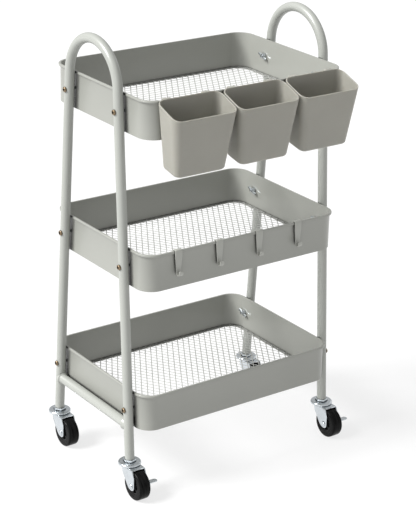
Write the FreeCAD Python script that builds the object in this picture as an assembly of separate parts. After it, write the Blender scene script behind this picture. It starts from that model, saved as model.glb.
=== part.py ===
import FreeCAD, Part

import math
import os

# Rolling utility cart, millimetres, +Z up.  X runs along the trays, Y across them, front is -Y.

# ---- overall sizes -------------------------------------------------------------------------
cart_height = 745.0            # floor to the top of the two handle arches
tray_length = 384.0            # over the rim
tray_depth = 278.0             # over the rim
bottom_rim_height = 177.5      # floor to the rim of the bottom tray
lower_tier_gap = 179.5         # clear height, bottom tray rim to the underside of the middle tray
upper_tier_gap = 186.0         # clear height, middle tray rim to the underside of the top tray

# ---- trays ---------------------------------------------------------------------------------
tray_wall_height = 62.5
tray_corner_radius = 30.0
tray_sheet = 1.0
rim_bead_height = 4.2
rim_bead_reach = 2.3           # how far the bead stands out past the wall
rim_bead_round = 1.0
tray_ledge_width = 5.0        # ledge frame that carries the mesh, inside the wall
rim_seam_width = 1.2
mesh_sheet = 1.0
mesh_edge_gap = 0.1            # mesh edge to the inside of the wall

# ---- end frames ----------------------------------------------------------------------------
tube_diameter = 16.0
tube_wall = 1.2
leg_inset_top = 67.0           # side of the tray to the middle of the leg, at the top screws
leg_inset_bottom = 34.7        # the same at the bottom screws
stretcher_height = 120.0       # floor to the middle of the stretcher
rim_to_tube_gap = 0.1

# ---- screws and wing nuts ------------------------------------------------------------------
screw_diameter = 4.0
screw_head_diameter = 8.6
screw_head_height = 2.6
screw_head_round = 1.3
screw_tip_length = 2.5         # past the wing nut
screw_recess_diameter = 3.6
screw_recess_depth = 1.5
screw_hole_gap = 0.25          # radial
screw_drop = 29.0              # rim to the middle of the screw
seat_gap = 0.02                # a face that is clamped against another
nut_hub_diameter = 9.0
nut_hub_length = 6.5
wing_span = 21.0
wing_thickness = 2.0
wing_overhang = 1.0            # past the end of the hub
wing_wall_clearance = 2.5      # wing to the tray wall
wing_round = 2.2
wing_turn = 25.0               # degrees the tightened wings stand off level
thread_gap = 0.03              # radial, between a thread and its nut

# ---- casters -------------------------------------------------------------------------------
wheel_diameter = 50.0
wheel_width = 20.0
wheel_shoulder = 3.0
hub_diameter = 28.0
hub_width = 21.0
hub_boss_diameter = 14.0
hub_face_recess = 1.0          # hub web, inside the face of the tyre
caster_trail = 24.0            # stem axis to the wheel axle
axle_diameter = 5.0
rivet_head_diameter = 9.0
rivet_head_height = 1.8
rivet_head_round = 1.0
running_gap = 0.05             # radial, on every shaft that turns
fork_inside = 22.0
fork_sheet = 1.8
wheel_headroom = 1.8           # wheel to the underside of the fork plate
fork_plate_radius = 15.5
fork_back_reach = 4.0          # leg plate, behind the stem axis
fork_front_reach = 26.0        # leg plate, ahead of the stem axis
fork_end_radius = 7.5
fork_neck_drop = 12.0          # depth of the full-width part of a side plate
fork_neck_taper = 2.0
race_diameter = 29.0
race_height = 2.0
race_band = 4.0
cap_gap = 0.4                  # turning race to fixed cap
cap_diameter = 38.0
cap_height = 3.8
cap_sheet = 1.6
cap_shoulder_width = 3.2       # sloped shoulder between the flat top and the skirt
cap_shoulder_height = 2.2
cap_shoulder_crown = 0.9
stem_diameter = 8.0
stem_reach = 24.0              # into the leg
stem_rivet_diameter = 13.0
stem_rivet_height = 1.6
stem_rivet_bevel = 0.8
stem_tip_bevel = 1.0
stem_nut_width = 19.0          # across flats
stem_nut_height = 4.5
stem_nut_turn = 15.0           # degrees one corner of the nut stands off the X axis
insert_length = 26.0

# ---- brake levers on the two front casters ---------------------------------------------------
lever_sheet = 1.5
lever_gap = 0.35
lever_eye_radius = 6.5
lever_arm = 11.0               # axle to the middle of the foot tab
lever_rise = 4.0               # axle to the underside of the foot tab
lever_tab_reach = 16.5         # outward length of the foot tab
lever_tab_width = 10.0
lever_tab_round = 4.5
lever_back_rise = 2.0          # axle to the back corner of the arm
lever_arm_margin = 1.0         # arm outline, inside the eye

# ---- hanging cups --------------------------------------------------------------------------
cup_count = 3
cup_row_margin = 12.0          # tray end to the first cup's share of the rim
cup_side_gap = 2.0             # between neighbouring cups
cup_top_depth = 56.0
cup_top_radius = 14.0
cup_side_taper = 12.0          # how far each side leans in towards the base
cup_base_depth = 42.0
cup_base_radius = 10.0
cup_wall = 2.2
cup_rise = 2.0                 # back edge of the cup above the tray rim
cup_back_height = 106.0        # back edge to the back of the base
cup_top_slope = 0.36           # front lip lower than the back edge, per unit of depth
cup_base_slope = 0.21
cup_lip_width = 14.0
cup_lip_inset = 16.0           # side of the cup to its lip
cup_lip_thickness = 1.6
cup_lip_drop = 9.0
hang_gap = 0.4                 # between a hung piece and the rim it sits on

# ---- small hooks on the middle tray ----------------------------------------------------------
hook_count = 4
hook_left_margin = 60.5        # tray end to the first hook
hook_right_margin = 86.5
hook_top_width = 13.0
hook_end_width = 8.0
hook_sheet = 1.8
hook_length = 41.0             # rim to the bottom of the bend
hook_mouth = 6.0               # strap to the turned-up end
hook_turn_up = 7.0
hook_lip_drop = 9.0

# ---- modelling allowances --------------------------------------------------------------------
cut_over = 5.0                 # how far a cutter stands past what it cuts
sink = 0.5                     # how far bodies of one piece run into each other
tiny = 0.01

# ---- fits that follow from the sizes above ---------------------------------------------------
middle_rim_height = bottom_rim_height + lower_tier_gap + tray_wall_height
top_rim_height = middle_rim_height + upper_tier_gap + tray_wall_height
rims = {"bottom": bottom_rim_height, "middle": middle_rim_height, "top": top_rim_height}
frame_x = tray_length / 2 + rim_to_tube_gap + tube_diameter / 2
wall_out_x = tray_length / 2 - rim_bead_reach
wall_in_x = wall_out_x - tray_sheet
front_wall_out = tray_depth / 2 - rim_bead_reach
front_wall_in = front_wall_out - tray_sheet
# legs: a straight line through the top and bottom screws, ending tangent to the handle arch
top_leg_y = tray_depth / 2 - leg_inset_top
bottom_leg_y = tray_depth / 2 - leg_inset_bottom
leg_slope = (bottom_leg_y - top_leg_y) / (top_rim_height - bottom_rim_height)
splay = math.atan(leg_slope)
arch_rise = cart_height - tube_diameter / 2 - (top_rim_height - screw_drop)
handle_radius = (top_leg_y - arch_rise * leg_slope) / (1 / math.cos(splay) - leg_slope)
arch_middle_height = cart_height - tube_diameter / 2 - handle_radius
arch_end_y = handle_radius * math.cos(splay)
arch_end_height = arch_middle_height + handle_radius * math.sin(splay)
axle_height = wheel_diameter / 2
fork_outside = fork_inside + 2 * fork_sheet
fork_top_height = wheel_diameter + wheel_headroom + fork_sheet
cap_bottom = fork_top_height + cap_gap
cap_top = cap_bottom + cap_height
leg_end_height = cap_top + stem_nut_height
cup_pitch = (tray_length - 2 * cup_row_margin) / cup_count
cup_top_width = cup_pitch - cup_side_gap
cup_base_width = cup_top_width - 2 * cup_side_taper
cup_lip_spacing = cup_top_width - 2 * cup_lip_inset - cup_lip_width
hook_pitch = (tray_length - hook_left_margin - hook_right_margin) / (hook_count - 1)
hung_back_y = tray_depth / 2 + hang_gap


def leg_y(height):
    """Distance of the middle of a leg from the middle of the cart at one height."""
    return arch_end_y + (arch_end_height - height) * leg_slope


stem_y = leg_y(leg_end_height)
tab_end_x = frame_x + fork_outside / 2 + lever_gap + lever_tab_reach
cap_end_x = frame_x + cap_diameter / 2
# the frame origin is under the middle of the whole cart, cups and foot tabs counted
middle_x = (tab_end_x - cap_end_x) / 2
middle_y = (tray_depth / 2 - (hung_back_y + cup_top_depth)) / 2


def vec(x, y, z):
    """Short name for a vector."""
    return FreeCAD.Vector(x, y, z)


def save(shape, node):
    """Move a finished piece into the cart's frame and write it out."""
    placed = shape.copy()
    placed.translate(vec(-middle_x, -middle_y, 0))
    placed.exportStep("parts/" + node + ".step")


def rounded_outline(length, depth, radius, z):
    """Closed wire of a rectangle with round corners, centred on the Z axis."""
    x = length / 2
    y = depth / 2
    r = radius
    s = r * math.sqrt(0.5)
    edges = []
    corners = ((x, y, 1, 1), (-x, y, -1, 1), (-x, -y, -1, -1), (x, -y, 1, -1))
    for i, (cx, cy, sx, sy) in enumerate(corners):
        mx = cx - sx * r
        my = cy - sy * r
        side = vec(cx, my, z)
        end = vec(mx, cy, z)
        start, stop = (side, end) if i % 2 == 0 else (end, side)
        edges.append(Part.Arc(start, vec(mx + sx * s, my + sy * s, z), stop).toShape())
        nx, ny, nsx, nsy = corners[(i + 1) % 4]
        if i % 2 == 0:
            edges.append(Part.makeLine(stop, vec(nx - nsx * r, ny, z)))
        else:
            edges.append(Part.makeLine(stop, vec(nx, ny - nsy * r, z)))
    return Part.Wire(edges)


def plate(length, depth, radius, z, thickness):
    """Flat plate with round corners standing on height z."""
    face = Part.Face(rounded_outline(length, depth, radius, z))
    return face.extrude(vec(0, 0, thickness))


def ring(length, depth, radius, width, z, height):
    """Band of one width following a rounded rectangle."""
    outer = plate(length, depth, radius, z, height)
    inner = plate(length - 2 * width, depth - 2 * width, radius - width, z, height)
    return outer.cut(inner)


def cylinder_x(radius, length, x, y, z):
    """Cylinder along X starting at x."""
    return Part.makeCylinder(radius, length, vec(x, y, z), vec(1, 0, 0))


def screw_places(rim):
    """The four places where one tray is screwed to the legs."""
    height = rim - screw_drop
    y = leg_y(height)
    return [(sx, sy * y, height) for sx in (-1, 1) for sy in (-1, 1)]


def tray_shell(rim):
    """Sheet-metal tray wall with its rolled rim, screw holes and rim seam."""
    base = rim - tray_wall_height
    wall_length = tray_length - 2 * rim_bead_reach
    wall_depth = tray_depth - 2 * rim_bead_reach
    wall_radius = tray_corner_radius - rim_bead_reach
    wall = ring(wall_length, wall_depth, wall_radius, tray_sheet, base, tray_wall_height)
    bead_width = rim_bead_reach + tray_sheet
    bead = ring(tray_length, tray_depth, tray_corner_radius, bead_width, rim - rim_bead_height,
                rim_bead_height)
    bead = bead.makeFillet(rim_bead_round, outer_edges(bead))
    shell = wall.fuse(bead).removeSplitter()
    cuts = []
    for sx, y, height in screw_places(rim):
        x = sx * wall_out_x - 2 * tray_sheet
        cuts.append(cylinder_x(screw_diameter / 2 + screw_hole_gap, 4 * tray_sheet, x, y, height))
    seam = Part.makeBox(rim_bead_reach, rim_seam_width, rim_bead_height)
    seam.translate(vec(wall_out_x + rim_bead_reach / 2, -rim_seam_width / 2, rim - rim_bead_height))
    cuts.append(seam)
    return shell.cut(cuts)


def tray_ledge(rim):
    """Flat frame welded inside the foot of the tray wall, which carries the mesh floor."""
    gap = rim_bead_reach + tray_sheet + seat_gap
    return ring(tray_length - 2 * gap, tray_depth - 2 * gap, tray_corner_radius - gap,
                tray_ledge_width, rim - tray_wall_height, tray_sheet)


def outer_edges(bead):
    """Edges on the outside face of the rim bead, above and below."""
    found = []
    for edge in bead.Edges:
        box = edge.BoundBox
        on_x = max(abs(box.XMax), abs(box.XMin)) > tray_length / 2 - tiny
        on_y = max(abs(box.YMax), abs(box.YMin)) > tray_depth / 2 - tiny
        if box.ZLength < tiny and (on_x or on_y):
            found.append(edge)
    return found


def tray_mesh(rim):
    """Flat blank of the tray floor mesh, resting on the ledge."""
    gap = rim_bead_reach + tray_sheet + mesh_edge_gap
    return plate(tray_length - 2 * gap, tray_depth - 2 * gap, tray_corner_radius - gap,
                 rim - tray_wall_height + tray_sheet + seat_gap, mesh_sheet)


def tray_screws(rim):
    """Four pan-head screws of one tray, each through a leg and the tray wall."""
    out_x = frame_x + tube_diameter / 2 + seat_gap
    tip_x = wall_in_x - seat_gap - nut_hub_length - screw_tip_length
    solids = []
    for sx, y, height in screw_places(rim):
        head = cylinder_x(screw_head_diameter / 2, screw_head_height, out_x, y, height)
        rim_edges = [e for e in head.Edges if e.BoundBox.XLength < tiny
                     and e.BoundBox.XMin > out_x + screw_head_height - tiny]
        head = head.makeFillet(screw_head_round, rim_edges)
        shank = cylinder_x(screw_diameter / 2, out_x - tip_x + sink, tip_x, y, height)
        recess = cylinder_x(screw_recess_diameter / 2, screw_recess_depth + cut_over,
                            out_x + screw_head_height - screw_recess_depth, y, height)
        screw = head.fuse(shank).cut(recess)
        if sx < 0:
            screw = screw.mirror(vec(0, 0, 0), vec(1, 0, 0))
        solids.append(screw)
    return Part.makeCompound(solids)


def wing_nuts(rim):
    """Four wing nuts of one tray, clamped against the inside of the end walls."""
    seat_x = wall_in_x - seat_gap
    solids = []
    for sx, y, height in screw_places(rim):
        hub = cylinder_x(nut_hub_diameter / 2, nut_hub_length, seat_x - nut_hub_length, y, height)
        wing_end = nut_hub_length + wing_overhang
        wing = Part.makeBox(wing_end - wing_wall_clearance, wing_span, wing_thickness)
        wing.translate(vec(seat_x - wing_end, y - wing_span / 2, height - wing_thickness / 2))
        ends = [e for e in wing.Edges if e.BoundBox.ZLength > wing_thickness - tiny]
        wing = wing.makeFillet(wing_round, ends)
        bore = cylinder_x(screw_diameter / 2 + thread_gap, nut_hub_length + 2 * cut_over,
                          seat_x - nut_hub_length - cut_over, y, height)
        nut = hub.fuse(wing).cut(bore)
        nut.rotate(vec(seat_x, y, height), vec(1, 0, 0), wing_turn)
        if sx < 0:
            nut = nut.mirror(vec(0, 0, 0), vec(1, 0, 0))
        solids.append(nut)
    return Part.makeCompound(solids)


def frame_path(foot):
    """Middle line of an end frame: leg, handle arch, leg."""
    low = leg_y(foot)
    end = vec(0, arch_end_y, arch_end_height)
    other = vec(0, -arch_end_y, arch_end_height)
    top = vec(0, 0, arch_middle_height + handle_radius)
    rise = Part.makeLine(vec(0, low, foot), end)
    arch = Part.Arc(end, top, other).toShape()
    drop = Part.makeLine(other, vec(0, -low, foot))
    return Part.Wire([rise, arch, drop])


def swept_tube(radius):
    """Solid bar of one radius along the path of an end frame."""
    foot = leg_end_height - tube_diameter
    start = vec(0, leg_y(foot), foot)
    along = vec(0, -math.sin(splay), math.cos(splay))
    profile = Part.Wire([Part.makeCircle(radius, start, along)])
    return frame_path(foot).makePipeShell([profile], True, False)


def frame_tube(side):
    """One bent tube: two splayed legs joined by the handle arch, drilled for the screws."""
    tube = swept_tube(tube_diameter / 2).cut(swept_tube(tube_diameter / 2 - tube_wall))
    width = 2 * tube_diameter
    span = 2 * (stem_y + tube_diameter)
    floor = Part.makeBox(width, span, width, vec(-width / 2, -span / 2, leg_end_height - width))
    cuts = [floor]
    for rim in rims.values():
        for sx, y, height in screw_places(rim):
            if sx > 0:
                hole = screw_diameter / 2 + screw_hole_gap
                cuts.append(cylinder_x(hole, width, -width / 2, y, height))
    tube = tube.cut(cuts)
    tube.translate(vec(side * frame_x, 0, 0))
    return tube


def frame_stretcher(side):
    """Cross tube welded between the two legs, its ends coped to the legs."""
    reach = leg_y(stretcher_height)
    bar = Part.makeCylinder(tube_diameter / 2, 2 * reach, vec(0, -reach, stretcher_height),
                            vec(0, 1, 0))
    bore = Part.makeCylinder(tube_diameter / 2 - tube_wall, 2 * reach,
                             vec(0, -reach, stretcher_height), vec(0, 1, 0))
    bar = bar.cut([bore, swept_tube(tube_diameter / 2 + seat_gap)])
    bar.translate(vec(side * frame_x, 0, 0))
    return bar


def leg_inserts():
    """Threaded plugs in the four leg ends that take the caster stems."""
    radius = tube_diameter / 2 - tube_wall - thread_gap
    side = 2 * tube_diameter
    solids = []
    for sx in (-1, 1):
        for sy in (-1, 1):
            foot = leg_end_height - cut_over
            axis = vec(0, -sy * math.sin(splay), math.cos(splay))
            plug = Part.makeCylinder(radius, insert_length + cut_over,
                                     vec(sx * frame_x, sy * leg_y(foot), foot), axis)
            below = Part.makeBox(side, side, side, vec(sx * frame_x - side / 2,
                                                       sy * stem_y - side / 2,
                                                       leg_end_height - side))
            bore = Part.makeCylinder(stem_diameter / 2 + thread_gap, insert_length + 2 * cut_over,
                                     vec(sx * frame_x, sy * stem_y, leg_end_height - cut_over))
            solids.append(plug.cut([below, bore]))
    return Part.makeCompound(solids)


def turned(points):
    """Solid turned about the Z axis from a closed outline of (radius, height) points."""
    corners = [vec(r, 0, z) for r, z in points]
    face = Part.Face(Part.makePolygon(corners + [corners[0]]))
    return face.revolve(vec(0, 0, 0), vec(0, 0, 1), 360)


def caster_stem():
    """Threaded stem with the riveted head that carries the fork."""
    r = stem_diameter / 2
    head = stem_rivet_diameter / 2
    under = fork_top_height - fork_sheet - cap_gap
    low = under - stem_rivet_height
    tip = leg_end_height + stem_reach
    return turned([(0, low), (head - stem_rivet_bevel, low), (head, low + stem_rivet_bevel),
                   (head, under), (r, under), (r, tip - stem_tip_bevel), (r - stem_tip_bevel, tip),
                   (0, tip)])


def caster_cap():
    """Fixed round cap over the ball race, with a down-turned skirt."""
    r = cap_diameter / 2
    bore = stem_diameter / 2 + thread_gap
    inner = cap_top - cap_sheet
    return turned([(bore, inner), (bore, cap_top), (r - cap_shoulder_width, cap_top),
                   (r - cap_shoulder_crown, cap_top - cap_shoulder_crown),
                   (r, cap_top - cap_shoulder_height), (r, cap_bottom),
                   (r - cap_sheet, cap_bottom), (r - cap_sheet, inner)])


def stem_nut():
    """Hex nut between the cap and the end of the leg."""
    low = cap_top + seat_gap
    high = leg_end_height - seat_gap
    r = stem_nut_width / math.sqrt(3)
    turns = [math.radians(60 * i + stem_nut_turn) for i in range(6)]
    corners = [vec(r * math.cos(turn), r * math.sin(turn), low) for turn in turns]
    face = Part.Face(Part.makePolygon(corners + [corners[0]]))
    bore = Part.makeCylinder(stem_diameter / 2 + thread_gap, high - low, vec(0, 0, low))
    return face.extrude(vec(0, 0, high - low)).cut(bore)


def fork_leg(x):
    """One side plate of the fork, tapering to a round end about the axle."""
    r = fork_end_radius
    top = fork_top_height
    low = axle_height
    front = -caster_trail - r
    back = -caster_trail + r
    neck = vec(x, fork_back_reach - fork_neck_taper, top - fork_neck_drop)
    path = [Part.makeLine(vec(x, fork_back_reach, top), vec(x, -fork_front_reach, top)),
            Part.makeLine(vec(x, -fork_front_reach, top), vec(x, front, low)),
            Part.Arc(vec(x, front, low), vec(x, -caster_trail, low - r), vec(x, back, low)).toShape(),
            Part.makeLine(vec(x, back, low), neck),
            Part.makeLine(neck, vec(x, fork_back_reach, top))]
    return Part.Face(Part.Wire(path)).extrude(vec(fork_sheet, 0, 0))


def caster_fork():
    """Stamped fork: round top plate with the race, bridge and two side plates."""
    low = fork_top_height - fork_sheet
    disc = Part.makeCylinder(fork_plate_radius, fork_sheet, vec(0, 0, low))
    bridge = Part.makeBox(fork_outside, fork_front_reach + fork_back_reach, fork_sheet,
                          vec(-fork_outside / 2, -fork_front_reach, low))
    left = fork_leg(-fork_outside / 2)
    right = fork_leg(fork_outside / 2 - fork_sheet)
    race = Part.makeCylinder(race_diameter / 2, race_height, vec(0, 0, fork_top_height))
    hollow = Part.makeCylinder(race_diameter / 2 - race_band, race_height, vec(0, 0, fork_top_height))
    fork = disc.fuse([bridge, left, right, race.cut(hollow)])
    pin = Part.makeCylinder(stem_diameter / 2 + running_gap, fork_sheet + race_height + 2 * cut_over,
                            vec(0, 0, low - cut_over))
    axle = cylinder_x(axle_diameter / 2 + seat_gap, fork_outside + 2 * cut_over,
                      -fork_outside / 2 - cut_over, -caster_trail, axle_height)
    return fork.cut([pin, axle]).removeSplitter()


def caster_axle(braked):
    """Axle riveted through the fork; the braked one is longer and also carries the lever."""
    left = -fork_outside / 2 - seat_gap
    right = fork_outside / 2 + seat_gap
    if braked:
        right = fork_outside / 2 + 2 * lever_gap + lever_sheet
    y = -caster_trail
    shank = cylinder_x(axle_diameter / 2, right - left, left, y, axle_height)
    head = cylinder_x(rivet_head_diameter / 2, rivet_head_height, left - rivet_head_height, y,
                      axle_height)
    edges = [e for e in head.Edges if e.BoundBox.XMax < left - rivet_head_height + tiny]
    head = head.makeFillet(rivet_head_round, edges)
    tail = cylinder_x(rivet_head_diameter / 2, rivet_head_height, right, y, axle_height)
    edges = [e for e in tail.Edges if e.BoundBox.XMin > right + rivet_head_height - tiny]
    tail = tail.makeFillet(rivet_head_round, edges)
    return shank.fuse([head, tail])


def wheel_tyre():
    """Black tread ring of the wheel."""
    tread = cylinder_x(wheel_diameter / 2, wheel_width, -wheel_width / 2, -caster_trail, axle_height)
    edges = [e for e in tread.Edges if e.BoundBox.XLength < tiny]
    tread = tread.makeFillet(wheel_shoulder, edges)
    bore = cylinder_x(hub_diameter / 2, wheel_width, -wheel_width / 2, -caster_trail, axle_height)
    return tread.cut(bore)


def wheel_hub():
    """Moulded wheel centre that turns on the axle."""
    body = cylinder_x(hub_diameter / 2 - seat_gap, wheel_width - 2 * hub_face_recess,
                      hub_face_recess - wheel_width / 2, -caster_trail, axle_height)
    boss = cylinder_x(hub_boss_diameter / 2, hub_width, -hub_width / 2, -caster_trail, axle_height)
    bore = cylinder_x(axle_diameter / 2 + running_gap, hub_width, -hub_width / 2, -caster_trail,
                      axle_height)
    return body.fuse(boss).cut(bore)


def brake_lever():
    """Side lever on the end of the axle, with a foot tab bent outward."""
    x = fork_outside / 2 + lever_gap
    y = -caster_trail
    eye = cylinder_x(lever_eye_radius, lever_sheet, x, y, axle_height)
    half = lever_tab_width / 2
    tab_top = axle_height + lever_rise + lever_sheet
    inner = lever_eye_radius - lever_arm_margin
    corners = [vec(x, y, axle_height - inner), vec(x, y + inner, axle_height + lever_back_rise),
               vec(x, y - lever_arm + half, tab_top), vec(x, y - lever_arm - half, tab_top),
               vec(x, y - lever_arm - half, axle_height)]
    outline = Part.makePolygon(corners + [corners[0]])
    arm = Part.Face(outline).extrude(vec(lever_sheet, 0, 0))
    tab = Part.makeBox(lever_tab_reach, lever_tab_width, lever_sheet,
                       vec(x, y - lever_arm - half, tab_top - lever_sheet))
    edges = [e for e in tab.Edges if e.BoundBox.ZLength > lever_sheet - tiny
             and e.BoundBox.XMin > x + lever_tab_reach - tiny]
    tab = tab.makeFillet(lever_tab_round, edges)
    bore = cylinder_x(axle_diameter / 2 + running_gap, lever_sheet + 2 * cut_over, x - cut_over, y,
                      axle_height)
    return eye.fuse([arm, tab]).cut(bore).removeSplitter()


def sloped_outline(width, depth, radius, back_y, back_z, slope):
    """Rounded rectangle whose front edge hangs lower than its back edge."""
    wire = rounded_outline(width, depth, radius, 0)
    matrix = FreeCAD.Matrix()
    matrix.A32 = slope
    matrix.A34 = back_z - slope * depth / 2
    matrix.A24 = back_y - depth / 2
    return wire.transformGeometry(matrix)


def cup_body(inset, lift, rise):
    """Tapered block between the top and base outlines, drawn in by one wall thickness."""
    top_z = top_rim_height + cup_rise
    base_z = top_z - cup_back_height + lift
    y = -hung_back_y
    top = sloped_outline(cup_top_width - 2 * inset, cup_top_depth - 2 * inset,
                         cup_top_radius - inset, y - inset, top_z + rise - inset * cup_top_slope,
                         cup_top_slope)
    base = sloped_outline(cup_base_width - 2 * inset, cup_base_depth - 2 * inset,
                          cup_base_radius - inset, y - inset, base_z - inset * cup_base_slope,
                          cup_base_slope)
    return Part.makeLoft([base, top], True, True)


def hanging_cup(x):
    """Tapered cup with two lips that hook over the rim of the top tray."""
    cup = cup_body(0, 0, 0).cut(cup_body(cup_wall, cup_wall, tiny))
    inner_y = -(front_wall_in - hang_gap)
    lip_top = top_rim_height + hang_gap + cup_lip_thickness
    back = -hung_back_y
    lips = []
    for side in (-1, 1):
        cx = side * cup_lip_spacing / 2
        over = Part.makeBox(cup_lip_width, inner_y + cup_lip_thickness - back + sink,
                            cup_lip_thickness,
                            vec(cx - cup_lip_width / 2, back - sink, lip_top - cup_lip_thickness))
        down = Part.makeBox(cup_lip_width, cup_lip_thickness, cup_lip_drop,
                            vec(cx - cup_lip_width / 2, inner_y, lip_top - cup_lip_drop))
        lips.append(over)
        lips.append(down)
    cup = cup.fuse(lips).removeSplitter()
    cup.translate(vec(x, 0, 0))
    return cup


def small_hook(x):
    """Flat hook over the rim of the middle tray, its lower end turned out and up."""
    t = hook_sheet
    top = middle_rim_height + hang_gap + t
    inner = -(front_wall_in - hang_gap)
    back = -hung_back_y
    low = middle_rim_height - hook_length
    turn = hook_mouth / 2
    mid_y = back - t - turn
    side = [vec(0, inner + t, top - hook_lip_drop), vec(0, inner + t, top), vec(0, back - t, top),
            vec(0, back - t, low + t + turn)]
    outer_low = vec(0, mid_y, low + t)
    end_y = back - t - hook_mouth
    edges = [Part.makeLine(side[i], side[i + 1]) for i in range(3)]
    edges.append(Part.Arc(side[3], outer_low, vec(0, end_y, low + t + turn)).toShape())
    tip = vec(0, end_y, low + t + hook_turn_up)
    edges.append(Part.makeLine(vec(0, end_y, low + t + turn), tip))
    edges.append(Part.makeLine(tip, tip + vec(0, -t, 0)))
    edges.append(Part.makeLine(tip + vec(0, -t, 0), vec(0, end_y - t, low + t + turn)))
    edges.append(Part.Arc(vec(0, end_y - t, low + t + turn), vec(0, mid_y, low),
                          vec(0, back, low + t + turn)).toShape())
    edges.append(Part.makeLine(vec(0, back, low + t + turn), vec(0, back, top - t)))
    edges.append(Part.makeLine(vec(0, back, top - t), vec(0, inner, top - t)))
    edges.append(Part.makeLine(vec(0, inner, top - t), vec(0, inner, top - hook_lip_drop)))
    edges.append(Part.makeLine(vec(0, inner, top - hook_lip_drop), side[0]))
    strip = Part.Face(Part.Wire(edges)).extrude(vec(hook_top_width, 0, 0))
    strip.translate(vec(-hook_top_width / 2, 0, 0))
    a = hook_top_width / 2
    b = hook_end_width / 2
    heights = ((a, top + cut_over), (a, middle_rim_height - rim_bead_height),
               (b, low + t + turn), (b, low - cut_over))
    half = [vec(x_half, -tray_depth, z) for x_half, z in heights]
    other = [vec(-x_half, -tray_depth, z) for x_half, z in reversed(heights)]
    taper = Part.makePolygon(half + other + [half[0]])
    mask = Part.Face(taper).extrude(vec(0, tray_depth, 0))
    hook = strip.common(mask)
    hook.translate(vec(x, 0, 0))
    return hook


def build_trays():
    """Write the shell, ledge, mesh floor, screws and wing nuts of every tray."""
    for name, rim in rims.items():
        save(tray_shell(rim), name + "_tray_shell")
        save(tray_ledge(rim), name + "_tray_ledge")
        save(tray_mesh(rim), name + "_tray_mesh")
        save(tray_screws(rim), name + "_tray_screws")
        save(wing_nuts(rim), name + "_tray_wing_nuts")


def build_frames():
    """Write both end frames and the leg inserts."""
    for name, side in (("left", -1), ("right", 1)):
        save(frame_tube(side), name + "_frame_tube")
        save(frame_stretcher(side), name + "_frame_stretcher")
    save(leg_inserts(), "leg_inserts")


def build_casters():
    """Write the pieces of the four casters; the two front ones have a brake."""
    for end, sx in (("left", -1), ("right", 1)):
        for row, sy in (("front", -1), ("rear", 1)):
            name = row + "_" + end + "_"
            braked = row == "front"
            pieces = {"stem": caster_stem(), "cap": caster_cap(), "stem_nut": stem_nut(),
                      "fork": caster_fork(), "axle": caster_axle(braked), "tyre": wheel_tyre(),
                      "hub": wheel_hub()}
            if braked:
                pieces["brake_lever"] = brake_lever()
            for piece, shape in pieces.items():
                shape.translate(vec(sx * frame_x, sy * stem_y, 0))
                save(shape, name + piece)


def build_hung_pieces():
    """Write the cups on the top tray and the hooks on the middle tray."""
    for i in range(cup_count):
        save(hanging_cup((i - (cup_count - 1) / 2) * cup_pitch), "cup_" + str(i + 1))
    for i in range(hook_count):
        save(small_hook(hook_left_margin - tray_length / 2 + i * hook_pitch), "hook_" + str(i + 1))


os.makedirs("parts", exist_ok=True)
build_trays()
build_frames()
build_casters()
build_hung_pieces()
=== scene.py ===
"""Rolling utility cart: its finishes and fine pieces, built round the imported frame."""

import logging
import math
from dataclasses import dataclass, field
from enum import Enum
from typing import Callable

import bmesh
import bpy
from mathutils import Matrix, Vector


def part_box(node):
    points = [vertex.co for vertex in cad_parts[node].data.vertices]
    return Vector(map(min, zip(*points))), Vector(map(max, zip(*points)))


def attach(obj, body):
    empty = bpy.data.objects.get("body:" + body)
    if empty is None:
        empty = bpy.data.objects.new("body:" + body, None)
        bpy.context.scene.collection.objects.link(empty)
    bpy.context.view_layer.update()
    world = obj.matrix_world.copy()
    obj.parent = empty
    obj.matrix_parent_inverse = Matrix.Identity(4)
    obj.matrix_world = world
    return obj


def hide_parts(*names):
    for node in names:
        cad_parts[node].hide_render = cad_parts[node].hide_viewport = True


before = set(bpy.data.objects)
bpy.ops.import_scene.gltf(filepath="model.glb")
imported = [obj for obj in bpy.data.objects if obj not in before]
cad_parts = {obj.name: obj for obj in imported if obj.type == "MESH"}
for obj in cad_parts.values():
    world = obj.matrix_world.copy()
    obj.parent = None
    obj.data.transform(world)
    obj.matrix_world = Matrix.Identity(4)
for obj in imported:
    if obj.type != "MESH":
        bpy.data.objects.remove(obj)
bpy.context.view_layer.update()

MM = 0.001
WELD = 0.004 * MM  # corners of a finished piece nearer than this are one
TOUCH = 0.01 * MM  # corners nearer than this lie in one place
CLOSE = 0.05 * MM
NEAR = 0.1 * MM
LOG = logging.getLogger("cart")
Colour = tuple[float, float, float]
Point = tuple[float, float, float]


class Kind(Enum):
    """What a selection in edit mode is made of."""

    VERT = "VERT"
    EDGE = "EDGE"
    FACE = "FACE"


class Axis(Enum):
    """The axis a round piece lies along, as the turn that lays it there."""

    X = (0.0, math.pi / 2, 0.0)
    Y = (math.pi / 2, 0.0, 0.0)
    Z = (0.0, 0.0, 0.0)


class Tier(Enum):
    """The three trays, by the names of their nodes."""

    BOTTOM = "bottom"
    MIDDLE = "middle"
    TOP = "top"


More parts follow.
